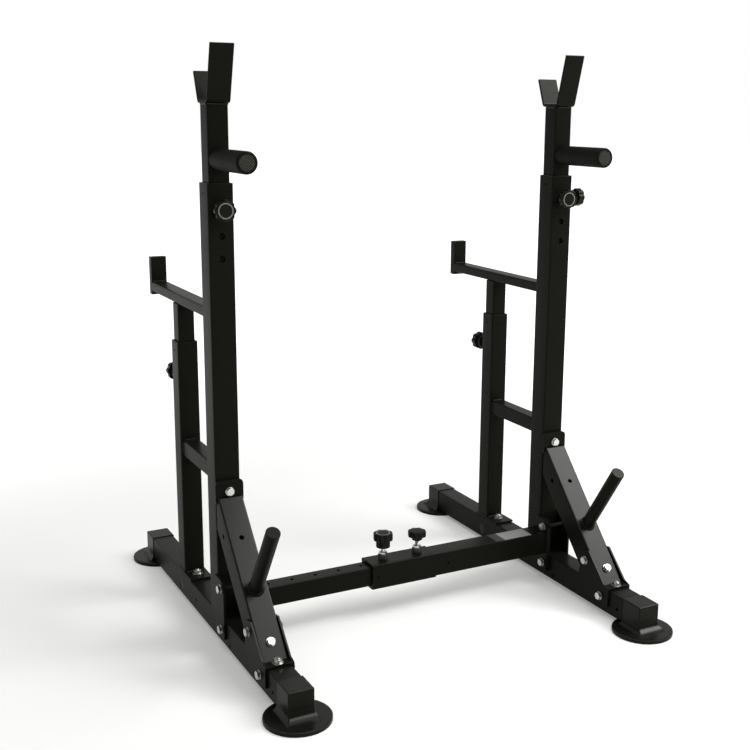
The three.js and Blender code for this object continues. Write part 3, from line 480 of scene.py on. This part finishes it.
def roundedCopy(node):
    style = roundedEdges
    shell = copyOf(nodes[node])
    shell.hide_render = False
    shell.hide_viewport = False
    makeActive(shell)
    shell.parent = None
    bpy.ops.object.mode_set(mode="EDIT")
    bpy.ops.mesh.select_all(action="SELECT")
    bpy.ops.mesh.remove_doubles(threshold=touch)
    bpy.ops.mesh.dissolve_limited(angle_limit=math.radians(style["flatAngle"]))
    bpy.ops.mesh.normals_make_consistent(inside=False)
    leaveMesh()
    if slotOf[node] == "boot_rubber":
        roundBoot(shell, node)
    softEdges(shell, style["radius"][slotOf[node]], style["segments"], style["sharpAngle"])
    smooth(shell)
    for label in list(shell.keys()):
        del shell[label]        # what the frame wrote on the node isn't true of its copy
    finishPiece(shell, f"{node}_skin", bodyOf[node], slotOf[node], node)


for node in sorted(nodes):
    if slotOf[node] in roundedEdges["radius"]:
        roundedCopy(node)
print("tubes, plates and boots done")


# knobs: a lobed head on a neck, a bright stem and a jam nut on the boss

knobStyle = {
    "lobes": 8,
    "lobePoints": 12,           # points round each lobe
    "lobeDepth": 2.6 * mm,
    "rimRadius": 2.0 * mm,
    "rimSegments": 4,
    "fluteLobes": 12,
    "fluteDepth": 0.8 * mm,
    "fluteEdge": 0.8 * mm,
    "neckOverlap": 1.0 * mm,    # how far the neck reaches into the head
    "plateSides": 64,
    "plateRadius": 20.0 * mm,   # round plate on the face of the pull knobs, with a pale ring in it
    "plateRise": 0.5 * mm,
    "plateEdge": 0.25 * mm,
    "ringOuter": 17.9 * mm,
    "ringInner": 14.8 * mm,
    "ringWall": 0.15 * mm,
    "ringSink": 0.2 * mm,
}
screwStyle = {                  # heads of the clamp screws
    "lobeDepth": 2.08 * mm,
    "dome": [                   # each step's rise, and its share of the width below it
        (0.9 * mm, 0.965), (0.7 * mm, 0.93), (0.5 * mm, 0.86), (0.3 * mm, 0.72), (0.15 * mm, 0.5),
    ],
    "neckShares": (0.15, 0.35, 0.5),    # steps down the neck
    "lipShare": 0.9,            # width after the first step, of the head's
    "flareShare": 1.12,         # width after the second step, of the neck's
    "edge": 1.0 * mm,
    "edgeSegments": 3,
    "smoothAngle": 50.0,
}
stemStyle = {
    "sides": 32,
    "radius": 5.6 * mm,
    "screwRadius": 5.3 * mm,
    "edge": 0.3 * mm,
    "overlap": 2.0 * mm,        # how far the stem reaches into the knob
    "nutFlats": 19.0 * mm,
    "nutHeight": 5.0 * mm,
    "nutRoom": 0.4 * mm,
    "drillShare": 1.5,          # of the nut's height, that its drill goes past it at each end
    "bossFlats": 22.0 * mm,     # six-sided bosses on the crossbar
    "bossHeight": 13.9 * mm,
    "bossSetBack": 0.3 * mm,
}
threadStyle = {
    "sides": 16,
    "pitch": 1.5 * mm,
    "waistShare": 0.88,         # width between two ridges
    "smoothAngle": 25.0,
}
hexStyle = {                    # corners of nuts, bolt heads and boss shells
    "chamferShare": 0.14,       # of the height
    "coneShare": 0.84,          # what the cone leaves of the width at its end
    "coneRoomShare": 1.001,     # the cone starts this little outside the corners
    "coneSides": 48,
    "edge": 0.25 * mm,
    "edgeAngle": 20.0,
}
knobForms = {                   # in mm, outwards from the boss: stem, neck and head, then the two radii
    "short": {"stem": 1.5, "neck": 4.0, "head": 12.5, "neckRadius": 15.0, "headRadius": 25.0},
    "rear": {"stem": 14.0, "neck": 15.0, "head": 19.0, "neckRadius": 17.8, "headRadius": 25.0},
    "tall": {"stem": 17.5, "neck": 18.5, "head": 19.0, "neckRadius": 17.8, "headRadius": 25.0},
    "barScrew": {"stem": 20.0, "neck": 10.0, "head": 15.0, "neckRadius": 13.0, "headRadius": 23.5},
    "sideScrew": {"stem": 10.0, "neck": 8.0, "head": 18.0, "neckRadius": 13.0, "headRadius": 22.8},
}
knobPlaces = [                  # node, form, direction out of the boss, whether the knob is a screw
    ("left_upright_plunger", "short", (0, -1, 0), False),
    ("right_upright_plunger", "short", (0, -1, 0), False),
    ("left_rear_plunger", "rear", (0, 1, 0), False),
    ("right_rear_plunger", "rear", (0, 1, 0), False),
    ("crossbar_plunger", "tall", (0, 0, 1), False),
    ("crossbar_clamp_knob", "barScrew", (0, 0, 1), True),
    ("right_clamp_knob", "sideScrew", (1, 0, 0), True),
]
bossBody = {                    # what the jam nuts and the boss shells ride on
    "left_rear_plunger": "left_stand", "right_rear_plunger": "right_stand", "crossbar_plunger": "right_stand",
    "crossbar_clamp_knob": "right_stand", "right_clamp_knob": "right_stand",
}


def lobedDisc(radius, bottom, height, lobes, depth):
    # a disc whose rim waves in and out
    steps = knobStyle["lobePoints"]
    disc = cylinder(radius, height, lobes * steps, bottom)
    for step in range(1, steps // 2 + 1):
        def onStep(spot, step=step):
            turn = math.atan2(spot.y, spot.x) / math.tau * lobes * steps
            place = round(turn) % steps
            return min(place, steps - place) == step
        hollow = depth * ((1 - math.cos(math.tau * step / steps)) / 2) ** 2
        share = (radius - hollow) / radius
        pickPoints(disc, onStep)
        bpy.ops.transform.resize(value=(share, share, 1.0), center_override=(0.0, 0.0, 0.0))
    leaveMesh()
    return disc


def growEnd(piece, up, steps):
    # the end face is drawn out in steps, each with its own rise and its own share of the width
    end = max(point.co.z * up for point in piece.data.vertices) * up
    pickFaces(piece, flatAt(end, up))
    for rise, share in steps:
        bpy.ops.mesh.extrude_region_move(TRANSFORM_OT_translate={"value": (0.0, 0.0, up * rise)})
        bpy.ops.transform.resize(value=(share, share, 1.0))
    leaveMesh()


def threadedRod(radius, length, bottom=0.0):
    # a rod along +Z with ridges at the thread's pitch
    pitch, waist = threadStyle["pitch"], threadStyle["waistShare"]
    turns = max(1, int(length / pitch))
    rod = cylinder(radius, pitch / 2, threadStyle["sides"], bottom)
    growEnd(rod, 1, [(pitch / 2, waist), (pitch / 2, 1 / waist)] * (turns - 1) + [(pitch / 2, waist)])
    smooth(rod, threadStyle["smoothAngle"])
    return rod


def hexBlock(flats, height, bothEnds=True):
    # a hexagon whose corners are cut by a cone, as on every nut and bolt head
    style = hexStyle
    corner = flats / math.sqrt(3)
    chamfer = height * style["chamferShare"]
    low = chamfer if bothEnds else 0.0
    block = cylinder(corner, height, 6)
    limit = cylinder(corner * style["coneRoomShare"], height - chamfer - low, style["coneSides"], low)
    growEnd(limit, 1, [(chamfer, style["coneShare"])])
    if bothEnds:
        growEnd(limit, -1, [(chamfer, style["coneShare"])])
    carve(block, limit, "INTERSECT")
    softEdges(block, style["edge"], angle=style["edgeAngle"])
    smooth(block)
    return block


def jamNut():
    style = stemStyle
    height = style["nutHeight"]
    nut = hexBlock(style["nutFlats"], height)
    past = style["drillShare"] * height
    drill = cylinder(style["radius"] + style["nutRoom"], height + 2 * past, style["sides"], -past)
    carve(nut, drill)
    smooth(nut)
    return nut


def faceDisc(top):
    # a round plate on the knob's face, with a groove painted pale
    style = knobStyle
    rise, wall = style["plateRise"], style["ringWall"]
    plate = cylinder(style["plateRadius"], 2 * rise, style["plateSides"], top - rise)
    softEdges(plate, style["plateEdge"], angle=rimAngle)
    face = top + rise
    pickFaces(plate, flatAt(face))
    bpy.ops.mesh.inset(thickness=style["plateRadius"] - style["plateEdge"] - style["ringOuter"])
    bpy.ops.mesh.inset(thickness=wall, depth=-style["ringSink"])
    bpy.ops.mesh.inset(thickness=style["ringOuter"] - style["ringInner"] - 2 * wall)
    bpy.ops.mesh.inset(thickness=wall, depth=style["ringSink"])
    leaveMesh()
    paintWith(plate, knobNylon)
    plate.data.materials.append(paleRing)
    for part in plate.data.polygons:
        reach = max(math.hypot(*plate.data.vertices[index].co.xy) for index in part.vertices)
        sunk = part.normal.z > facing and part.center.z < face - style["ringSink"] / 2
        if sunk and style["ringInner"] < reach < style["ringOuter"]:
            part.material_index = 1
    return plate


def pullKnob(form):
    style = knobStyle
    neck = form["neck"] * mm
    head = form["head"] * mm - style["plateRise"]
    bottom = form["stem"] * mm + neck
    lobed = lobedDisc(form["headRadius"] * mm, bottom, head, style["lobes"], style["lobeDepth"])
    softEdges(lobed, style["rimRadius"], style["rimSegments"], rimAngle)
    paintWith(lobed, knobNylon)
    fluted = lobedDisc(form["neckRadius"] * mm, bottom - neck, neck + style["neckOverlap"],
                       style["fluteLobes"], style["fluteDepth"])
    softEdges(fluted, style["fluteEdge"], angle=rimAngle)
    paintWith(fluted, knobNylon)
    knob = joinPieces([lobed, fluted, faceDisc(bottom + head)])
    smooth(knob)
    return knob


def screwKnob(form):
    # domed on top and drawn in underneath
    style = screwStyle
    neck, head = form["neck"] * mm, form["head"] * mm
    bottom = form["stem"] * mm + neck
    domeRise = sum(rise for rise, share in style["dome"])
    knob = lobedDisc(form["headRadius"] * mm, bottom, head - domeRise, knobStyle["lobes"], style["lobeDepth"])
    growEnd(knob, 1, style["dome"])
    neckShare = form["neckRadius"] / form["headRadius"]
    widths = (1.0, style["lipShare"], style["flareShare"] * neckShare, neckShare)
    growEnd(knob, -1, [(neck * part, after / before)
                       for part, before, after in zip(style["neckShares"], widths, widths[1:])])
    softEdges(knob, style["edge"], style["edgeSegments"], rimAngle)
    paintWith(knob, knobNylon)
    smooth(knob, style["smoothAngle"])
    return knob


def endOf(node, direction):
    # the middle of a node's end face in that direction
    low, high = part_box(node)
    return Vector([(high if way > 0 else low)[axis] if way else (low[axis] + high[axis]) / 2
                   for axis, way in enumerate(direction)])


def plainStem(length):
    stem = cylinder(stemStyle["radius"], length, stemStyle["sides"])
    softEdges(stem, stemStyle["edge"])
    smooth(stem)
    return stem


def buildKnobs():
    style = stemStyle
    for node, formName, direction, isScrew in knobPlaces:
        form = knobForms[formName]
        body = bodyOf[node]
        reach = (form["stem"] + form["neck"] + form["head"]) * mm
        boss = endOf(node, direction) - Vector(direction) * reach
        knob = screwKnob(form) if isScrew else pullKnob(form)
        stand(knob, boss, direction)
        finishPiece(knob, f"{node}_knob", body, "knob_plastic", node)
        length = form["stem"] * mm + style["overlap"]
        stem = threadedRod(style["screwRadius"], length) if isScrew else plainStem(length)
        paintWith(stem, zincPlate)
        stand(stem, boss, direction)
        finishPiece(stem, f"{node}_stem", body, "zinc_steel")
        if node in bossBody:
            nut = jamNut()
            paintWith(nut, zincPlate)
            stand(nut, boss, direction)
            finishPiece(nut, f"{node}_jam_nut", bossBody[node], "zinc_steel")
        if node.startswith("crossbar"):
            shell = hexBlock(style["bossFlats"], style["bossHeight"])
            # grey as a painted reflection on the black-painted boss
            paintWith(shell, bossReflectionGrey)
            depth = style["bossHeight"] + style["bossSetBack"]
            stand(shell, boss - Vector(direction) * depth, direction)
            finishPiece(shell, f"{node}_boss_shell", bossBody[node], "black_paint")
    print("knobs done")


# bolts: washers, chamfered heads and nuts, a threaded end, and a shank coloured dark as painted shade

boltStyle = {
    "flats": 17.0 * mm,
    "head": 6.4 * mm,
    "nut": 8.0 * mm,
    "washer": 2.0 * mm,
    "washerSides": 48,
    "washerRadius": 10.5 * mm,
    "wideRadius": 13.0 * mm,    # under the nuts on top of the rails
    "shank": 4.9 * mm,
    "shankSides": 24,
    "edge": 0.4 * mm,
    "threadEnd": 3.0 * mm,
    "threadSunk": 2.0 * mm,     # how far the threaded end reaches into its nut
}
boltWays = {                    # direction out of each bolt's head
    "saddle_upper_bolt": (-1, 0, 0), "saddle_lower_bolt": (-1, 0, 0), "upper_clamp_bolt": (-1, 0, 0),
    "lower_clamp_bolt": (-1, 0, 0), "flange_bolt": (0, 0, -1), "saddle_floor_bolt": (0, 0, -1),
    "bracket_bolt": (0, -1, 0),
}
faceBolt = {                    # the leaning bolt in the brace's face, seen from the upright's axis
    "lean": math.radians(42.69),
    "forward": 284.55 * mm,
    "height": 109.48 * mm,
    "grip": 5.8 * mm,
    "room": 0.3 * mm,           # under its head's washer
}


def washer(radius):
    disc = cylinder(radius, boltStyle["washer"], boltStyle["washerSides"])
    softEdges(disc, boltStyle["edge"], angle=rimAngle)
    smooth(disc)
    return disc


def raised(piece, height):
    makeActive(piece)
    bpy.ops.transform.translate(value=(0.0, 0.0, height))
    bpy.ops.object.transform_apply(location=True)
    return piece


def headUnit():
    cap = raised(hexBlock(boltStyle["flats"], boltStyle["head"], False), boltStyle["washer"])
    unit = joinPieces([washer(boltStyle["washerRadius"]), cap])
    paintWith(unit, zincPlate)
    return unit


def nutUnit(radius):
    style = boltStyle
    nut = raised(hexBlock(style["flats"], style["nut"]), style["washer"])
    stud = threadedRod(style["shank"], style["threadEnd"] + style["threadSunk"],
                       style["washer"] + style["nut"] - style["threadSunk"])
    unit = joinPieces([washer(radius), nut, stud])
    paintWith(unit, zincPlate)
    return unit


def shankOf(length):
    shank = cylinder(boltStyle["shank"], length, boltStyle["shankSides"], -length)
    softEdges(shank, boltStyle["edge"])
    smooth(shank)
    # painted shade in place of zinc on the shank
    paintWith(shank, shadowedShankSteel)
    return shank


def buildBolts():
    style = boltStyle
    masters = {
        "head": headUnit(),
        "nut": nutUnit(style["washerRadius"]),
        "wideNut": nutUnit(style["wideRadius"]),
    }
    headSize = style["washer"] + style["head"]
    nutSize = style["washer"] + style["nut"] + style["threadEnd"]

    def boltAt(node, underHead, underNut, way, nutKind):
        head, nut = copyOf(masters["head"]), copyOf(masters[nutKind])
        shank = shankOf((underHead - underNut).length)
        stand(head, underHead, way)
        stand(shank, underHead, way)
        stand(nut, underNut, -way)
        finishPiece(joinPieces([head, nut, shank]), f"{node}_set", bodyOf[node], "zinc_steel", node)

    for side in ("left", "right"):
        for kind, direction in boltWays.items():
            node = f"{side}_{kind}"
            way = Vector(direction)
            underHead = endOf(node, direction) - way * headSize
            underNut = endOf(node, tuple(-step for step in direction)) + way * nutSize
            boltAt(node, underHead, underNut, way, "wideNut" if direction[2] else "nut")
        mast = endOf(f"{side}_upright_bush", (0, 0, 1))
        way = Vector((0.0, -math.cos(faceBolt["lean"]), math.sin(faceBolt["lean"])))
        face = Vector((mast.x, mast.y - faceBolt["forward"], faceBolt["height"]))
        underHead = face + way * faceBolt["room"]
        boltAt(f"{side}_saddle_face_bolt", underHead, face - way * faceBolt["grip"], way, "nut")
    for master in masters.values():
        bpy.data.objects.remove(master)
    print("bolts done")


# hand grips: a moulded sleeve with a diamond pattern and a paler end disc

gripStyle = {
    "sides": 96,
    "radius": 24.0 * mm,
    "length": 175.0 * mm,
    "endRadius": 4.0 * mm,
    "endSegments": 5,
    "discInset": 2.2 * mm,
    "discWall": 0.4 * mm,
    "discSink": 0.6 * mm,
}


def buildGrips():
    style = gripStyle
    for side in ("left", "right"):
        node = f"{side}_handle_grip"
        sleeve = cylinder(style["radius"], style["length"], style["sides"], -style["length"])
        softEdges(sleeve, style["endRadius"], style["endSegments"], rimAngle)
        paintWith(sleeve, gripRubber)
        pickFaces(sleeve, flatAt(0.0))
        bpy.ops.mesh.inset(thickness=style["discInset"])
        bpy.ops.mesh.inset(thickness=style["discWall"], depth=-style["discSink"])
        leaveMesh()
        sleeve.data.materials.append(gripDisc)
        for face in sleeve.data.polygons:
            if face.normal.z > facing and face.center.z < -style["discSink"] / 2:
                face.material_index = 1
        smooth(sleeve)
        stand(sleeve, endOf(node, (0, -1, 0)), (0, -1, 0))
        finishPiece(sleeve, f"{side}_grip_sleeve", bodyOf[node], "grip_rubber", node)
    print("grips done")


# weld beads: rippled cords of metal along the seams

beadStyle = {
    "sides": 12,
    "radius": 2.3 * mm,
    "pitch": 5.0 * mm,
    "rippleShare": 0.6,         # width between two ripples
    "smoothAngle": 80.0,
    "cornerRoom": 4.0 * mm,
    "catchHalf": 24.5 * mm,     # half widths of the tubes that the beads go round
    "catchDrop": 1.4 * mm,
    "postHalf": 26.0 * mm,
    "flangeTop": 78.3 * mm,
    "armHalf": 20.0 * mm,
    "stopDepth": 20.0 * mm,
    "stopRise": 64.0 * mm,      # the stop stands this far above the arm
}


def weldBead(name, start, end, body):
    style = beadStyle
    start, end = Vector(start), Vector(end)
    length = (end - start).length
    ripples = max(2, round(length / style["pitch"]))
    pitch = length / ripples
    bead = cylinder(style["radius"], pitch / 2, style["sides"])
    wave = [(pitch / 2, style["rippleShare"]), (pitch / 2, 1 / style["rippleShare"])]
    growEnd(bead, 1, (wave * ripples)[:-1])
    modify(bead, "SUBSURF", levels=1, render_levels=1)
    smooth(bead, style["smoothAngle"])
    paintWith(bead, weldCoat)
    stand(bead, start, (end - start).normalized())
    finishPiece(bead, name, body, "black_paint")


def beadRing(name, middle, half, height, body, sides):
    # beads round a square tube, on the named sides
    reach = half - beadStyle["cornerRoom"]
    spans = {
        "front": ((-reach, -half), (reach, -half)), "rear": ((-reach, half), (reach, half)),
        "left": ((-half, -reach), (-half, reach)), "right": ((half, -reach), (half, reach)),
    }
    for side in sides:
        (startX, startY), (endX, endY) = spans[side]
        weldBead(f"{name}_{side}", (middle.x + startX, middle.y + startY, height),
                 (middle.x + endX, middle.y + endY, height), body)


def linkBeads(side, body):
    # round both ends of the link tube
    low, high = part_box(f"{side}_link_tube")
    room = beadStyle["cornerRoom"]
    for word, y in (("front", low.y), ("rear", high.y)):
        for edge, z in (("top", high.z), ("bottom", low.z)):
            weldBead(f"{side}_link_bead_{word}_{edge}", (low.x + room, y, z), (high.x - room, y, z), body)
        for edge, x in (("left", low.x), ("right", high.x)):
            weldBead(f"{side}_link_bead_{word}_{edge}", (x, y, low.z + room), (x, y, high.z - room), body)


def buildBeads():
    style = beadStyle
    for side in ("left", "right"):
        standBody = bodyOf[f"{side}_upright"]
        mast = endOf(f"{side}_upright_bush", (0, 0, 1))
        post = endOf(f"{side}_rear_bush", (0, 0, 1))
        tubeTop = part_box(f"{side}_inner_upright")[1].z
        beadRing(f"{side}_catch_bead", mast, style["catchHalf"], tubeTop - style["catchDrop"],
                 bodyOf[f"{side}_bar_catch"], ("front", "rear", "left", "right"))
        beadRing(f"{side}_post_bead", post, style["postHalf"], style["flangeTop"],
                 standBody, ("front", "left", "right"))
        linkBeads(side, standBody)
        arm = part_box(f"{side}_spotter_arm")
        stopFront = arm[1].y - style["stopDepth"]
        armTop = arm[1].z - style["stopRise"]
        reach = style["armHalf"] - style["cornerRoom"]
        weldBead(f"{side}_stop_bead", (mast.x - reach, stopFront, armTop),
                 (mast.x + reach, stopFront, armTop), bodyOf[f"{side}_spotter_arm"])
    print("weld beads done")


# push-in plugs in the rails' access holes

plugStyle = {
    "sides": 48,
    "radius": 14.1 * mm,
    "depth": 3.6 * mm,
    "dish": 1.2 * mm,           # how far the middle lies back
    "rim": 2.0 * mm,
    "edge": 0.5 * mm,
    "edgeSegments": 3,
    "edgeAngle": 30.0,
}


def buildPlugs():
    style = plugStyle
    for side in ("left", "right"):
        node = f"{side}_rail_plug"
        plug = cylinder(style["radius"], style["depth"], style["sides"], -style["depth"])
        pickFaces(plug, flatAt(0.0))
        bpy.ops.mesh.inset(thickness=style["rim"])
        bpy.ops.mesh.inset(thickness=style["dish"], depth=-style["dish"])
        leaveMesh()
        softEdges(plug, style["edge"], style["edgeSegments"], style["edgeAngle"])
        smooth(plug)
        paintWith(plug, bushNylon)
        stand(plug, endOf(node, (-1, 0, 0)), (-1, 0, 0))
        finishPiece(plug, f"{side}_hole_plug", bodyOf[node], "bush_plastic", node)
    print("plugs done")


# bare silver label with a grey end, on top of the crossbar's outer tube

labelStyle = {                  # corners in metres, in the frame
    "low": Vector((0.261, -0.1335, 0.1395)),
    "high": Vector((0.372, -0.0835, 0.1400)),
    "bandEnd": 0.288,           # the label is a darker grey up to this x
    "corner": 1.5 * mm,
    "cornerSegments": 4,
    "edge": 0.1 * mm,
    "edgeAngle": 60.0,
}


def buildLabel():
    style = labelStyle
    low, high = style["low"], style["high"]
    label = begin(bpy.ops.mesh.primitive_cube_add, size=1.0, location=(low + high) / 2, scale=high - low)
    pickEdges(label, lambda start, end: abs(start.z - end.z) > touch)
    bpy.ops.mesh.bevel(offset=style["corner"], segments=style["cornerSegments"])
    leaveMesh()
    softEdges(label, style["edge"], segments=1, angle=style["edgeAngle"])
    pickFaces(label, lambda middle, normal: True)
    bpy.ops.mesh.bisect(plane_co=(style["bandEnd"], 0.0, 0.0), plane_no=(1.0, 0.0, 0.0))
    leaveMesh()
    paintWith(label, silverFoil)
    label.data.materials.append(greyFoil)
    for face in label.data.polygons:
        if face.center.x < style["bandEnd"]:
            face.material_index = 1
    smooth(label)
    finishPiece(label, "crossbar_label", "right_stand", "zinc_steel")
    print("label done")


buildKnobs()
buildBolts()
buildGrips()
buildBeads()
buildPlugs()
buildLabel()


# studio: floor, lamps, world and camera

studio = {
    "floorSize": 60.0,
    "floorShade": (0.8, 0.806, 0.78),   # what the object sees
    "liftNear": 0.225,          # added for the camera and in reflections, so that the bare floor is white
    "liftFar": 1.0,
    "liftReach": (0.9, 3.4),    # how far from the object the lift starts to grow, and where it ends
    "lamps": [                  # name, place, aim, width, height, power
        ("frontRight", (2.3, -1.2, 2.8), (0.1, 0.0, 0.4), 1.7, 1.7, 86.0),
        ("overhead", (0.0, 0.5, 4.5), (0.0, 0.0, 0.3), 4.0, 4.0, 42.0),
        ("frontCard", (0.8, -1.75, 2.9), (-0.1, -0.2, 0.3), 1.5, 0.9, 24.0),
    ],
    "worldLight": 0.4,
    "glossFront": 0.06,         # what polished and painted faces see of the room, in front and behind
    "glossBack": 0.5,
    "glossTurn": 0.8,           # share of Y in a ray where the room is all front or all back
}


def seenRays(tree):
    # 1 for the camera, for reflections and for what is seen through glass
    path = addNode(tree, "ShaderNodeLightPath")
    mirrored = mathOf(tree, "MAXIMUM", path.outputs["Is Glossy Ray"], path.outputs["Is Transmission Ray"])
    return mathOf(tree, "MAXIMUM", path.outputs["Is Camera Ray"], mirrored)


def buildFloor():
    floor = begin(bpy.ops.mesh.primitive_plane_add, size=studio["floorSize"])
    floor.name = "studioFloor"
    material = bpy.data.materials.new("studioPaper")
    material.use_nodes = True
    tree = material.node_tree
    shader = tree.nodes["Principled BSDF"]
    shader.inputs["Base Color"].default_value = (*studio["floorShade"], 1.0)
    shader.inputs["Roughness"].default_value = 0.9
    shader.inputs["Specular IOR Level"].default_value = 0.0
    shader.inputs["Emission Color"].default_value = (1.0, 1.0, 1.0, 1.0)
    place = addNode(tree, "ShaderNodeTexCoord")
    reach = addNode(tree, "ShaderNodeVectorMath", operation="LENGTH")
    near, far = studio["liftReach"]
    lift = addNode(tree, "ShaderNodeMapRange", {
        "From Min": near, "From Max": far, "To Min": studio["liftNear"], "To Max": studio["liftFar"],
    }, interpolation_type="SMOOTHSTEP")
    tree.links.new(place.outputs["Object"], reach.inputs[0])
    tree.links.new(reach.outputs["Value"], lift.inputs["Value"])
    strength = mathOf(tree, "MULTIPLY", lift.outputs["Result"], seenRays(tree))
    tree.links.new(strength, shader.inputs["Emission Strength"])
    floor.data.materials.append(material)


def buildWorld():
    # white for the camera, a dim room in front of the object and a lighter one behind it in reflections
    world = bpy.data.worlds.new("studioAir")
    bpy.context.scene.world = world
    world.use_nodes = True
    tree = world.node_tree
    background = tree.nodes["Background"]
    background.inputs["Color"].default_value = (1.0, 1.0, 1.0, 1.0)
    path = addNode(tree, "ShaderNodeLightPath")
    direction = addNode(tree, "ShaderNodeTexCoord")
    axes = addNode(tree, "ShaderNodeSeparateXYZ")
    room = addNode(tree, "ShaderNodeMapRange", {
        "From Min": -studio["glossTurn"], "From Max": studio["glossTurn"],
        "To Min": studio["glossFront"], "To Max": studio["glossBack"],
    })
    glossy = addNode(tree, "ShaderNodeMix", data_type="FLOAT")
    seen = addNode(tree, "ShaderNodeMix", data_type="FLOAT")
    glossy.inputs["A"].default_value = studio["worldLight"]
    seen.inputs["B"].default_value = 1.0
    tree.links.new(direction.outputs["Generated"], axes.inputs[0])
    tree.links.new(axes.outputs["Y"], room.inputs["Value"])
    tree.links.new(room.outputs["Result"], glossy.inputs["B"])
    tree.links.new(path.outputs["Is Glossy Ray"], glossy.inputs["Factor"])
    tree.links.new(glossy.outputs["Result"], seen.inputs["A"])
    tree.links.new(path.outputs["Is Camera Ray"], seen.inputs["Factor"])
    tree.links.new(seen.outputs["Result"], background.inputs["Strength"])


def buildLamps():
    for name, place, aim, width, height, power in studio["lamps"]:
        light = bpy.data.lights.new(name, "AREA")
        light.shape = "RECTANGLE"
        light.size = width
        light.size_y = height
        light.energy = power
        lamp = bpy.data.objects.new(name, light)
        bpy.context.scene.collection.objects.link(lamp)
        lamp.location = place
        lamp.rotation_euler = (Vector(aim) - Vector(place)).to_track_quat("-Z", "Y").to_euler()


cameraFit = {
    "place": (-1.29919, -2.50896, 1.24405),
    "yaw": math.radians(28.04),       # from +Y towards +X
    "pitch": math.radians(-12.62),
    "roll": math.radians(0.52),
    "lens": 54.81,
    "sensor": 36.0,
    "shift": (-0.0323, -0.0119),
}


def buildCamera():
    fit = cameraFit
    ahead = Vector((
        math.sin(fit["yaw"]) * math.cos(fit["pitch"]),
        math.cos(fit["yaw"]) * math.cos(fit["pitch"]),
        math.sin(fit["pitch"]),
    ))
    right = Vector((math.cos(fit["yaw"]), -math.sin(fit["yaw"]), 0.0))
    up = right.cross(ahead)
    cosRoll, sinRoll = math.cos(fit["roll"]), math.sin(fit["roll"])
    rolledRight = right * cosRoll + up * sinRoll
    rolledUp = up * cosRoll - right * sinRoll
    data = bpy.data.cameras.new("photoCamera")
    data.lens = fit["lens"]
    data.sensor_width = fit["sensor"]
    data.sensor_fit = "HORIZONTAL"
    data.shift_x, data.shift_y = fit["shift"]
    camera = bpy.data.objects.new("photoCamera", data)
    bpy.context.scene.collection.objects.link(camera)
    turn = Matrix((rolledRight, rolledUp, -ahead)).transposed()
    camera.matrix_world = Matrix.Translation(fit["place"]) @ turn.to_4x4()
    bpy.context.scene.camera = camera


buildFloor()
buildWorld()
buildLamps()
buildCamera()
bpy.context.scene.view_settings.view_transform = "Standard"
print("studio done")
